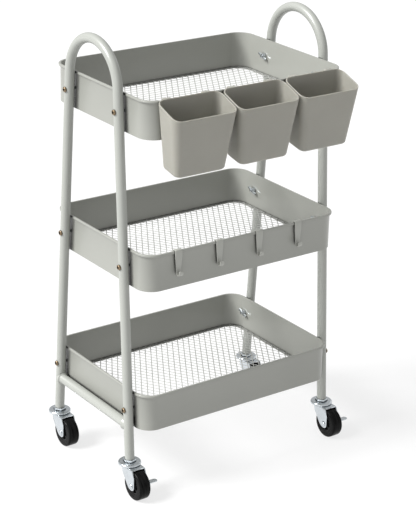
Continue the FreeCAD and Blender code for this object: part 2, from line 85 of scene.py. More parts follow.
class Bench:
    """The modelling moves that the pieces are made with."""

    @staticmethod
    def clear() -> None:
        """Leave edit mode and select nothing."""
        if bpy.context.object and bpy.context.object.mode != "OBJECT":
            bpy.ops.object.mode_set(mode="OBJECT")
        bpy.ops.object.select_all(action="DESELECT")

    @staticmethod
    def take(name: str) -> bpy.types.Object:
        """Name the new active object and set its place into its mesh.

        Args:
            name: the piece's name.

        Returns:
            The object, unturned and unscaled at the origin.
        """
        piece = bpy.context.object
        piece.name = name
        piece.data.name = name
        bpy.ops.object.transform_apply(location=True, rotation=True, scale=True)
        return piece

    @staticmethod
    def block(name: str, size: Point, centre: Point) -> bpy.types.Object:
        """Start a piece from a box.

        Args:
            name: the piece's name.
            size: lengths along X, Y and Z.
            centre: the middle of the box.

        Returns:
            The new object.
        """
        Bench.clear()
        bpy.ops.mesh.primitive_cube_add(size=1.0, location=centre, scale=size)
        return Bench.take(name)

    @staticmethod
    def round_bar(
        name: str, radius: float, length: float, centre: Point, along: Axis, sides: int = 40
    ) -> bpy.types.Object:
        """Start a piece from a cylinder.

        Args:
            name: the piece's name.
            radius: its radius.
            length: its length.
            centre: the middle of the cylinder.
            along: the axis it lies along.
            sides: how many flat sides stand in for the round.

        Returns:
            The new object.
        """
        Bench.clear()
        bpy.ops.mesh.primitive_cylinder_add(
            vertices=sides, radius=radius, depth=length, location=centre, rotation=along.value
        )
        return Bench.take(name)

    @staticmethod
    def outline(
        name: str, length: float, depth: float, radius: float, centre: Vector, steps: int
    ) -> bpy.types.Object:
        """Start a piece from a flat rectangle with round corners, left open in edit mode.

        Args:
            name: the piece's name.
            length: its length along X.
            depth: its length along Y.
            radius: the corner radius.
            centre: its middle.
            steps: how many edges each corner is turned in.

        Returns:
            The new object.
        """
        Bench.clear()
        bpy.ops.mesh.primitive_plane_add(size=1.0, location=centre)
        piece = Bench.take(name)
        Bench.edit(piece)
        bpy.ops.transform.resize(value=(length, depth, 1.0), center_override=centre)
        bpy.ops.mesh.bevel(offset=radius, segments=steps, affect="VERTICES")
        bpy.ops.mesh.select_all(action="SELECT")
        return piece

    @staticmethod
    def bevel(offset: float, steps: int = 3) -> None:
        """Round the selected edges."""
        bpy.ops.mesh.bevel(offset=offset, segments=steps, affect="EDGES", clamp_overlap=True)

    @staticmethod
    def soften(piece: bpy.types.Object, offset: float, angle: float = 35.0, steps: int = 2) -> None:
        """Round every edge of a piece that is sharper than an angle.

        Args:
            piece: the piece to change.
            offset: width of the rounding.
            angle: the angle in degrees.
            steps: how many edges the rounding is turned in.
        """
        Bench.modify(
            piece, "BEVEL", width=offset, segments=steps, limit_method="ANGLE",
            angle_limit=math.radians(angle),
        )

    @staticmethod
    def join(pieces: list[bpy.types.Object], name: str) -> bpy.types.Object:
        """Put several closed pieces together as one object.

        Args:
            pieces: the pieces.
            name: the name of the result.

        Returns:
            The joined object.
        """
        Bench.clear()
        for piece in pieces:
            piece.select_set(True)
        bpy.context.view_layer.objects.active = pieces[0]
        if len(pieces) > 1:
            bpy.ops.object.join()
        return Bench.take(name)

    @staticmethod
    def only(piece: bpy.types.Object) -> None:
        """Leave edit mode with one piece selected and active.

        Args:
            piece: the piece.
        """
        Bench.clear()
        piece.select_set(True)
        bpy.context.view_layer.objects.active = piece

    @staticmethod
    def edit(piece: bpy.types.Object) -> None:
        """Open one piece in edit mode with everything in it selected.

        Args:
            piece: the piece to open.
        """
        Bench.only(piece)
        bpy.ops.object.mode_set(mode="EDIT")
        bpy.ops.mesh.select_mode(type="VERT")
        bpy.ops.mesh.select_all(action="SELECT")

    @staticmethod
    def resize(ratio: Point, pivot: Vector) -> None:
        """Scale the selection about a point."""
        bpy.ops.transform.resize(value=ratio, center_override=pivot)

    @staticmethod
    def turn(angle: float, axis: Axis, pivot: Vector) -> None:
        """Turn the selection about a point by an angle in radians."""
        bpy.ops.transform.rotate(value=angle, orient_axis=axis.name, center_override=pivot)

    @staticmethod
    def cut(point: Point, normal: Point, trim: bool = False) -> None:
        """Cut the open piece along a plane; trimming drops what lies beyond it."""
        bpy.ops.mesh.select_all(action="SELECT")
        bpy.ops.mesh.bisect(plane_co=point, plane_no=normal, clear_outer=trim)

    @staticmethod
    def weld(reach: float) -> None:
        """Merge the corners of the open piece that lie nearer than a reach."""
        bpy.ops.mesh.select_all(action="SELECT")
        bpy.ops.mesh.remove_doubles(threshold=reach)

    @staticmethod
    def pick(kind: Kind, test: Callable[[object], bool]) -> int:
        """Select what passes a test, in the piece that is open.

        Args:
            kind: vertices, edges or faces.
            test: says whether one element is wanted.

        Returns:
            How many were selected.
        """
        bpy.ops.mesh.select_mode(type=kind.value)
        bpy.ops.mesh.select_all(action="DESELECT")
        data = bpy.context.object.data
        mesh = bmesh.from_edit_mesh(data)
        items = {Kind.VERT: mesh.verts, Kind.EDGE: mesh.edges, Kind.FACE: mesh.faces}[kind]
        wanted = [item for item in items if test(item)]
        for item in wanted:
            item.select_set(True)
        mesh.select_flush_mode()
        bmesh.update_edit_mesh(data)
        return len(wanted)

    @staticmethod
    def grow(offset: Point) -> None:
        """Extrude the selection and move it by an offset."""
        bpy.ops.mesh.extrude_region_move(TRANSFORM_OT_translate={"value": offset})

    @staticmethod
    def finish(piece: bpy.types.Object, angle: float = 40.0) -> bpy.types.Object:
        """Close edit mode, point the faces outwards and shade by angle.

        Args:
            piece: the piece that is open.
            angle: edges sharper than this many degrees stay sharp.

        Returns:
            The piece.
        """
        Bench.edit(piece)
        Bench.weld(WELD)
        bpy.ops.mesh.normals_make_consistent(inside=False)
        Bench.only(piece)
        bpy.ops.object.shade_smooth_by_angle(angle=math.radians(angle))
        Bench.clear()
        return piece

    @staticmethod
    def modify(piece: bpy.types.Object, kind: str, **settings: object) -> None:
        """Add one modifier and apply it.

        Args:
            piece: the piece to change.
            kind: the modifier's type.
            settings: its values.
        """
        Bench.only(piece)
        modifier = piece.modifiers.new(kind.title(), kind)
        for key, value in settings.items():
            setattr(modifier, key, value)
        bpy.ops.object.modifier_apply(modifier=modifier.name)

    @staticmethod
    def copy(piece: bpy.types.Object, name: str, move: Point) -> bpy.types.Object:
        """Copy a finished piece with a mesh of its own, set down somewhere else.

        Args:
            piece: the piece to copy.
            name: the copy's name.
            move: the offset of the copy.

        Returns:
            The copy.
        """
        Bench.only(piece)
        bpy.ops.object.duplicate(linked=False)
        bpy.ops.transform.translate(value=move)
        return Bench.take(name)


def along(edge: bmesh.types.BMEdge, axis: Axis) -> float:
    """How far an edge reaches along one axis."""
    first, second = (vert.co["XYZ".index(axis.name)] for vert in edge.verts)
    return abs(first - second)


def corners(test: Callable[[Vector], bool]) -> Callable[[object], bool]:
    """A test for edges, all of whose corners have to pass."""
    return lambda edge: all(test(vert.co) for vert in edge.verts)


class Nodes:
    """A material under construction.

    Attributes:
        LOW: the value of a pattern that gives its first tone.
        HIGH: the value of a pattern that gives its second tone.
        PAINTED_CREVICE_SHADE: how open a place is, with its tone, at the two ends of the painted
            shade that darkens tight corners and narrow gaps.
    """

    LOW = 0.3
    HIGH = 0.7
    # Painted shade: near black where a place is most closed in, none where it is open.
    PAINTED_CREVICE_SHADE = [(0.44, (0.02, 0.02, 0.02)), (0.8, (1.0, 1.0, 1.0))]

    def __init__(self, name: str) -> None:
        """Start a material with one surface shader.

        Args:
            name: the material's name.
        """
        self.material = bpy.data.materials.new(name)
        self.material.use_nodes = True
        self.tree = self.material.node_tree
        self.tree.nodes.clear()
        output = self.tree.nodes.new("ShaderNodeOutputMaterial")
        self.surface = self.tree.nodes.new("ShaderNodeBsdfPrincipled")
        self.link(self.surface, "BSDF", output, "Surface")
        self.place = self.tree.nodes.new("ShaderNodeTexCoord")

    def link(self, source: bpy.types.Node, out: str, target: bpy.types.Node, into: str) -> None:
        """Join one node's output to another's input."""
        self.tree.links.new(source.outputs[out], target.inputs[into])

    def set(self, **values: object) -> None:
        """Set the shader's own sockets; underscores in a name stand for spaces."""
        for key, value in values.items():
            self.surface.inputs[key.replace("_", " ")].default_value = value

    def noise(
        self, scale: float, stretch: Point = (1.0, 1.0, 1.0), detail: float = 3.0
    ) -> bpy.types.Node:
        """A noise pattern on the piece's own place.

        Args:
            scale: features per metre.
            stretch: how the pattern is squeezed along each axis.
            detail: how many finer layers it has.

        Returns:
            The noise node.
        """
        mapping = self.tree.nodes.new("ShaderNodeMapping")
        mapping.inputs["Scale"].default_value = stretch
        self.link(self.place, "Object", mapping, "Vector")
        noise = self.tree.nodes.new("ShaderNodeTexNoise")
        noise.inputs["Scale"].default_value = scale
        noise.inputs["Detail"].default_value = detail
        self.link(mapping, "Vector", noise, "Vector")
        return noise

    def spread(self, source: bpy.types.Node, low: float, high: float, into: str) -> None:
        """Drive one value of the shader between two limits from a pattern.

        Args:
            source: the pattern node.
            low: the value where the pattern is low.
            high: the value where the pattern is high.
            into: the shader socket's name.
        """
        ranged = self.tree.nodes.new("ShaderNodeMapRange")
        ranged.inputs["From Min"].default_value = self.LOW
        ranged.inputs["From Max"].default_value = self.HIGH
        ranged.inputs["To Min"].default_value = low
        ranged.inputs["To Max"].default_value = high
        self.link(source, "Fac", ranged, "Value")
        self.link(ranged, "Result", self.surface, into)

    def ramp(
        self, source: bpy.types.Node, out: str, stops: list[tuple[float, Colour]]
    ) -> bpy.types.Node:
        """Turn a pattern into tones.

        Args:
            source: the pattern node.
            out: its output that is used.
            stops: the lowest and the highest value with their tones.

        Returns:
            The ramp node.
        """
        ramp = self.tree.nodes.new("ShaderNodeValToRGB")
        for element, (position, tone) in zip(ramp.color_ramp.elements, stops):
            element.position = position
            element.color = (*tone, 1.0)
        self.link(source, out, ramp, "Fac")
        return ramp

    def colours(
        self, source: bpy.types.Node, first: Colour, second: Colour, reach: float = 0.0
    ) -> None:
        """Blend the base colour between two tones from a pattern, and darken it with painted shade
        near other surfaces when a reach is given.

        Args:
            source: the pattern node.
            first: the tone where the pattern is low.
            second: the tone where it is high.
            reach: how near another surface the painted shade starts to darken tight corners, in
                metres.
        """
        ramp = self.ramp(source, "Fac", [(self.LOW, first), (self.HIGH, second)])
        if not reach:
            self.link(ramp, "Color", self.surface, "Base Color")
            return
        # Painted shade: occlusion darkens the base colour in tight corners and narrow gaps, such as
        # beside the legs and under the rims.
        painted_crevice_shade = self.tree.nodes.new("ShaderNodeAmbientOcclusion")
        painted_crevice_shade.samples = 6
        painted_crevice_shade.inputs["Distance"].default_value = reach
        shade = self.ramp(painted_crevice_shade, "AO", self.PAINTED_CREVICE_SHADE)
        blend = self.tree.nodes.new("ShaderNodeMix")
        blend.data_type = "RGBA"
        blend.blend_type = "MULTIPLY"
        blend.inputs[0].default_value = 1.0
        self.tree.links.new(ramp.outputs["Color"], blend.inputs[6])
        self.tree.links.new(shade.outputs["Color"], blend.inputs[7])
        self.tree.links.new(blend.outputs[2], self.surface.inputs["Base Color"])

    def bump(self, source: bpy.types.Node, depth: float, strength: float = 1.0) -> None:
        """Give the surface a fine relief from a pattern.

        Args:
            source: the pattern node.
            depth: height of the relief in metres.
            strength: how much of it shows.
        """
        bump = self.tree.nodes.new("ShaderNodeBump")
        bump.inputs["Distance"].default_value = depth
        bump.inputs["Strength"].default_value = strength
        self.link(source, "Fac", bump, "Height")
        self.link(bump, "Normal", self.surface, "Normal")


def tinted(colour: Colour, factor: float) -> Colour:
    """The same colour, lighter or darker by a factor."""
    return tuple(min(1.0, channel * factor) for channel in colour)


@dataclass(frozen=True)
class PowderCoat:
    """Satin powder coat over steel, with a fine orange-peel relief.

    Attributes:
        name: the material's name.
        colour: its middle tone.
        roughness: its mean roughness.
        peel_scale: features of the orange peel per metre.
        peel_depth: its height.
        painted_crevice_shade: how near another surface the painted shade starts to darken the coat.
    """

    name: str
    colour: Colour
    roughness: float = 0.40
    peel_scale: float = 900.0
    peel_depth: float = 0.02 * MM
    painted_crevice_shade: float = 5.0 * MM

    def material(self) -> bpy.types.Material:
        """Make the material."""
        nodes = Nodes(self.name)
        broad = nodes.noise(9.0)
        # Painted shade darkens the coat in tight corners, such as beside the legs and under the
        # rolled rims; the broad noise is a random tone.
        nodes.colours(broad, tinted(self.colour, 0.975), tinted(self.colour, 1.025), self.painted_crevice_shade)
        nodes.spread(nodes.noise(30.0), self.roughness - 0.03, self.roughness + 0.04, "Roughness")
        nodes.bump(nodes.noise(self.peel_scale, detail=2.0), self.peel_depth, 0.6)
        nodes.set(Specular_IOR_Level=0.5, Coat_Weight=0.35, Coat_Roughness=0.14)
        return nodes.material


@dataclass(frozen=True)
class Metal:
    """Bare or plated metal with a faint drawn grain.

    Attributes:
        name: the material's name.
        colour: its mean reflection colour.
        roughness: its mean roughness.
        stretch: the direction that the grain is drawn in.
        grain_scale: features of the grain per metre.
        painted_crevice_shade: how near another surface the painted shade starts to darken the
            metal.
    """

    name: str
    colour: Colour
    roughness: float = 0.26
    stretch: Point = (1.0, 1.0, 0.15)
    grain_scale: float = 700.0
    painted_crevice_shade: float = 3.5 * MM

    def material(self) -> bpy.types.Material:
        """Make the material."""
        nodes = Nodes(self.name)
        cloud = nodes.noise(70.0)
        # Painted shade darkens the metal in tight corners; the cloud is a random tone.
        nodes.colours(cloud, tinted(self.colour, 0.95), tinted(self.colour, 1.05), self.painted_crevice_shade)
        grain = nodes.noise(self.grain_scale, self.stretch)
        nodes.spread(grain, self.roughness - 0.05, self.roughness + 0.06, "Roughness")
        nodes.bump(grain, 0.004 * MM, 0.4)
        nodes.set(Metallic=1.0)
        return nodes.material


@dataclass(frozen=True)
class Moulded:
    """Moulded plastic or rubber with a fine eroded grain.

    Attributes:
        name: the material's name.
        colour: its middle tone.
        roughness: its mean roughness.
        grain_scale: features of the grain per metre.
        grain_depth: its height.
        shine: strength of the clear reflection.
        painted_streak_highlight: how light the painted highlight lines round the tread are; none at
            0.
        glow_through: how much light passes under the surface.
    """

    name: str
    colour: Colour
    roughness: float = 0.45
    grain_scale: float = 1200.0
    grain_depth: float = 0.015 * MM
    shine: float = 0.45
    painted_streak_highlight: float = 0.0
    glow_through: float = 0.0

    def material(self) -> bpy.types.Material:
        """Make the material."""
        nodes = Nodes(self.name)
        if self.painted_streak_highlight:
            # Painted highlight: lines round the tread lighten the base colour; the same lines also
            # vary the roughness.
            lines = nodes.noise(500.0, (1.0, 0.08, 0.08))
            nodes.colours(lines, tinted(self.colour, 0.6), tinted(self.colour, self.painted_streak_highlight))
            nodes.spread(lines, self.roughness - 0.05, self.roughness + 0.12, "Roughness")
        else:
            nodes.colours(nodes.noise(14.0), tinted(self.colour, 0.97), tinted(self.colour, 1.03))
            cloud = nodes.noise(60.0)
            nodes.spread(cloud, self.roughness - 0.04, self.roughness + 0.04, "Roughness")
        nodes.bump(nodes.noise(self.grain_scale, detail=2.0), self.grain_depth, 0.7)
        nodes.set(Specular_IOR_Level=self.shine)
        nodes.set(Subsurface_Weight=self.glow_through, Subsurface_Scale=4.0 * MM)
        nodes.set(Subsurface_Radius=(1.0, 0.95, 0.85))
        return nodes.material


class Finish(Enum):
    """Every finish of the cart."""

    # The powder coats and the metals darken with painted shade near other surfaces.
    TRAY = PowderCoat("tray_powder_coat", (0.275, 0.279, 0.254))
    FRAME = PowderCoat("frame_powder_coat", (0.325, 0.335, 0.31))
    MESH = PowderCoat("mesh_powder_coat", (0.36, 0.365, 0.345))
    HOOK = PowderCoat("hook_powder_coat", (0.34, 0.345, 0.315), painted_crevice_shade=2.5 * MM)
    ZINC = Metal("bright_zinc", (0.66, 0.70, 0.73), roughness=0.22)
    SCREW = Metal("yellow_zinc", (0.27, 0.20, 0.13), roughness=0.32)
    # The tread's light lines are painted highlight.
    TYRE = Moulded("black_tread", (0.004, 0.004, 0.004), roughness=0.22, shine=0.06, painted_streak_highlight=3.0)
    PLASTIC = Moulded("black_moulding", (0.010, 0.010, 0.010), roughness=0.42, shine=0.2)
    # Painted shade: near-black tone of the disc that stands for the shade deep in each screw
    # recess.
    SOCKET = Moulded("dark_socket", (0.006, 0.005, 0.004), roughness=0.6, shine=0.1)
    CUP = Moulded("cup_moulding", (0.290, 0.283, 0.250), roughness=0.42, glow_through=0.6)


class Paintshop:
    """Makes each finish once and puts it on pieces and nodes."""

    def __init__(self) -> None:
        """Start with no finish mixed."""
        self.mixed: dict[Finish, bpy.types.Material] = {}

    def coat(self, piece: bpy.types.Object, finish: Finish) -> None:
        """Put one finish on every slot of a piece.

        Args:
            piece: the piece to coat.
            finish: the finish it gets.
        """
        if finish not in self.mixed:
            self.mixed[finish] = finish.value.material()
        slots = piece.data.materials
        if not slots:
            slots.append(self.mixed[finish])
        for index in range(len(slots)):
            slots[index] = self.mixed[finish]


@dataclass
class MeshFloor:
    """Open diamond mesh of one tray floor, resting on the tray's flange."""

    tier: Tier
    pitch_x: float = 11.64 * MM
    pitch_y: float = 18.6 * MM
    strand: float = 1.5 * MM
    corner: float = 26.6 * MM
    corner_cuts: int = 6

    def build(self, paint: Paintshop) -> bpy.types.Object:
        """Lay the lattice, trim it to the tray and give its strands their thickness.

        Args:
            paint: the finishes.

        Returns:
            The floor.
        """
        node = f"{self.tier.value}_tray_mesh"
        _, high, middle = span(node)
        half = high - middle
        cells = 2 * (math.ceil(half.x / self.pitch_x + half.y / self.pitch_y) + 1)
        Bench.clear()
        bpy.ops.mesh.primitive_grid_add(
            x_subdivisions=cells,
            y_subdivisions=cells,
            size=cells * self.pitch_x / math.sqrt(2),
            location=middle,
        )
        floor = Bench.take(f"{self.tier.value}_diamond_mesh")
        Bench.edit(floor)
        Bench.turn(math.pi / 4, Axis.Z, middle)
        Bench.resize((1.0, self.pitch_y / self.pitch_x, 1.0), middle)
        for point, normal in self.trims(middle, half):
            Bench.cut(point, normal, trim=True)
        Bench.weld(self.strand / 2)
        Bench.modify(
            floor, "WIREFRAME", thickness=self.strand, use_even_offset=True, use_boundary=True
        )
        Bench.edit(floor)
        Bench.resize((1.0, 1.0, 2 * half.z / self.strand), middle)
        Bench.finish(floor, 30.0)
        hand_over(floor, paint, Finish.MESH, "cart", node)
        return floor

    def trims(self, middle: Vector, half: Vector) -> list[tuple[Vector, Vector]]:
        """Planes that trim the lattice to a rectangle with round corners.

        Args:
            middle: the middle of the floor.
            half: half its lengths.

        Returns:
            A point and an outward normal for each plane.
        """
        planes = []
        edge = self.strand / 2
        steps = 4 * self.corner_cuts
        for step in range(steps):
            angle = 2 * math.pi * step / steps
            normal = Vector((math.cos(angle), math.sin(angle), 0.0))
            sx = 1 if normal.x >= 0 else -1
            sy = 1 if normal.y >= 0 else -1
            pivot = Vector((sx * (half.x - self.corner), sy * (half.y - self.corner), 0.0))
            planes.append((middle + pivot + normal * (self.corner - edge), normal))
        return planes


def span(node: str) -> tuple[Vector, Vector, Vector]:
    """The lowest corner, the highest corner and the middle of a node's box."""
    low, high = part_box(node)
    return Vector(low), Vector(high), (Vector(low) + Vector(high)) / 2


def hand_over(
    piece: bpy.types.Object, paint: Paintshop, finish: Finish, body: str, node: str = ""
) -> None:
    """Finish a piece and tie it to the frame.

    Args:
        piece: the finished piece.
        paint: the finishes.
        finish: the piece's finish.
        body: the body it moves with.
        node: the node it is shown in place of, if any.
    """
    paint.coat(piece, finish)
    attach(piece, body)
    if node:
        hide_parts(node)
    LOG.info("%s: %d faces", piece.name, len(piece.data.polygons))


@dataclass
class TrayWall:
    """Sheet-metal wall of one tray with its rolled rim; sizes in millimetres."""

    tier: Tier
    corner: float = 30.0
    corner_steps: int = 20
    bead_reach: float = 2.3
    bead_height: float = 4.2
    bead_round: float = 1.1
    sheet: float = 1.0
    seam: float = 1.2
    seam_margin: float = 0.2
    ring_share: float = 0.12
    neck: float = 0.6
    neck_step: float = 0.25
    crown_width: float = 0.5
    crown_edge: float = 0.12
    crown_drop: float = 0.15

    def build(self, paint: Paintshop) -> bpy.types.Object:
        """Draw the wall's section ring by ring and close it at the foot.

        Args:
            paint: the finishes.

        Returns:
            The wall.
        """
        node = f"{self.tier.value}_tray_shell"
        low, high, middle = span(node)
        half_x, half_y = (high.x - low.x) / 2, (high.y - low.y) / 2
        wall = -self.bead_reach * MM
        foot = Vector((middle.x, middle.y, low.z))
        name = f"{self.tier.value}_tray_wall"
        radius = self.corner * MM + wall
        piece = Bench.outline(
            name, 2 * (half_x + wall), 2 * (half_y + wall), radius, foot, self.corner_steps
        )
        bpy.ops.mesh.delete(type="ONLY_FACE")
        bpy.ops.mesh.select_all(action="SELECT")
        inset, height = wall, 0.0
        for next_inset, next_height in self.section(high.z - low.z):
            bpy.ops.mesh.extrude_edges_move(
                TRANSFORM_OT_translate={"value": (0.0, 0.0, next_height - height)}
            )
            ratio_x = (half_x + next_inset) / (half_x + inset)
            ratio_y = (half_y + next_inset) / (half_y + inset)
            Bench.resize((ratio_x, ratio_y, 1.0), middle)
            inset, height = next_inset, next_height
        Bench.pick(Kind.EDGE, lambda edge: edge.is_boundary)
        bpy.ops.mesh.bridge_edge_loops()
        self.split_seam(middle, half_x, high.z)
        Bench.finish(piece, 42.0)
        hand_over(piece, paint, Finish.TRAY, "cart", node)
        return piece

    def section(self, tall: float) -> list[tuple[float, float]]:
        """The wall's section after its foot, as (inset, height) pairs in metres.

        Args:
            tall: the wall's height.

        Returns:
            The pairs, from the foot up the outside and down the inside.
        """
        reach, turn = self.bead_reach * MM, self.bead_round * MM
        under = tall - self.bead_height * MM
        inside = -reach - self.sheet * MM
        ring, neck = tall * self.ring_share, self.neck * MM
        points = [(-reach, ring), (-reach, under - neck), (-reach + self.neck_step * MM, under)]
        points += self.turned(-turn, under + turn, turn, -90.0, 0.0)
        points += self.turned(-turn, tall - turn, turn, 0.0, 90.0)
        points.append((inside + self.crown_width * MM, tall))
        points.append((inside + self.crown_edge * MM, tall - self.crown_drop * MM))
        points += [(inside, tall - neck), (inside, ring), (inside, 0.0)]
        return points

    @staticmethod
    def turned(
        x: float, z: float, radius: float, start: float, stop: float
    ) -> list[tuple[float, float]]:
        """Points of an arc about (x, z) between two angles in degrees."""
        angles = [math.radians(start + (stop - start) * step / 4) for step in range(5)]
        return [(x + radius * math.cos(turn), z + radius * math.sin(turn)) for turn in angles]

    def split_seam(self, middle: Vector, half_x: float, top: float) -> None:
        """Press the narrow rim seam into the bead at the right-hand end.

        Args:
            middle: the middle of the tray wall.
            half_x: half its length.
            top: the height of its rim.
        """
        for side in (-1, 1):
            edge = Vector((middle.x, middle.y + side * self.seam * MM / 2, top))
            Bench.cut(edge, (0.0, 1.0, 0.0))
        outside = middle.x + half_x - self.seam_margin * MM
        Bench.pick(
            Kind.FACE,
            lambda face: abs(face.calc_center_median().y - middle.y) < self.seam * MM / 2
            and face.calc_center_median().x > outside,
        )
        Bench.grow((-self.bead_reach * MM / 2, 0.0, 0.0))


@dataclass
class EndFrame:
    """One bent tube with its welded stretcher; sizes in millimetres."""

    side: str
    radius: float = 8.0
    wall: float = 1.2
    handle_radius: float = 70.005
    splay: float = 3.768
    sides: int = 48
    arch_steps: int = 56
    stretcher_height: float = 120.0
    weld_reach: float = 3.4
    weld_rise: float = 1.9
    weld_crest: float = 0.6
    weld_waist: float = 0.35

    def build(self, paint: Paintshop) -> None:
        """Bend the tube and weld the stretcher in.

        Args:
            paint: the finishes.
        """
        node = f"{self.side}_frame_tube"
        low, high, middle = span(node)
        turn = math.radians(self.splay)
        slope = math.tan(turn)
        bend = self.handle_radius * MM
        hub = Vector((middle.x, middle.y, high.z - self.radius * MM - bend))
        end = hub + Vector((0.0, bend * math.cos(turn), bend * math.sin(turn)))
        drop = end.z - low.z + self.radius * MM
        foot = end + Vector((0.0, drop * slope, -drop))
        Bench.clear()
        bpy.ops.mesh.primitive_circle_add(
            vertices=self.sides, radius=self.radius * MM, location=foot, rotation=(turn, 0.0, 0.0)
        )
        tube = Bench.take(f"{self.side}_bent_tube")
        Bench.edit(tube)
        bpy.ops.mesh.extrude_edges_move(TRANSFORM_OT_translate={"value": end - foot})
        bpy.ops.mesh.spin(
            steps=self.arch_steps, angle=-(math.pi - 2 * turn), center=hub, axis=(1.0, 0.0, 0.0)
        )
        bpy.ops.mesh.extrude_edges_move(
            TRANSFORM_OT_translate={"value": (0.0, -drop * slope, -drop)}
        )
        Bench.weld(TOUCH)
        Bench.cut((0.0, 0.0, low.z), (0.0, 0.0, -1.0), trim=True)
        bpy.ops.mesh.select_all(action="SELECT")
        bpy.ops.mesh.normals_make_consistent(inside=False)
        Bench.modify(tube, "SOLIDIFY", thickness=self.wall * MM, offset=-1.0)
        Bench.finish(tube)
        hand_over(tube, paint, Finish.FRAME, "cart", node)
        self.stretcher(paint, hub, end, slope)

    def stretcher(self, paint: Paintshop, hub: Vector, end: Vector, slope: float) -> None:
        """Lay the stretcher between the legs, its ends flared into the welds.

        Args:
            paint: the finishes.
            hub: the middle of the handle arch.
            end: where the arch meets the leg.
            slope: how far the legs spread, per unit of height.
        """
        height = self.stretcher_height * MM
        reach = end.y - hub.y + (end.z - height) * slope
        centre = Vector((hub.x, hub.y, height))
        bar = Bench.round_bar(
            f"{self.side}_welded_stretcher", self.radius * MM, 2 * reach, centre, Axis.Y, self.sides
        )
        Bench.edit(bar)
        face = reach - self.radius * MM
        reach = self.weld_reach
        for out, rise in ((reach, 0.0), (reach / 2, self.weld_waist), (self.weld_crest, 1.0)):
            for way in (-1, 1):
                place = centre + Vector((0.0, way * (face - out * MM), 0.0))
                Bench.cut(place, (0.0, 1.0, 0.0))
                ratio = 1.0 + rise * self.weld_rise / self.radius
                Bench.pick(Kind.VERT, lambda vert: abs(vert.co.y - place.y) < CLOSE)
                Bench.resize((ratio, 1.0, ratio), place)
        Bench.finish(bar, 50.0)
        hand_over(bar, paint, Finish.FRAME, "cart", f"{self.side}_frame_stretcher")


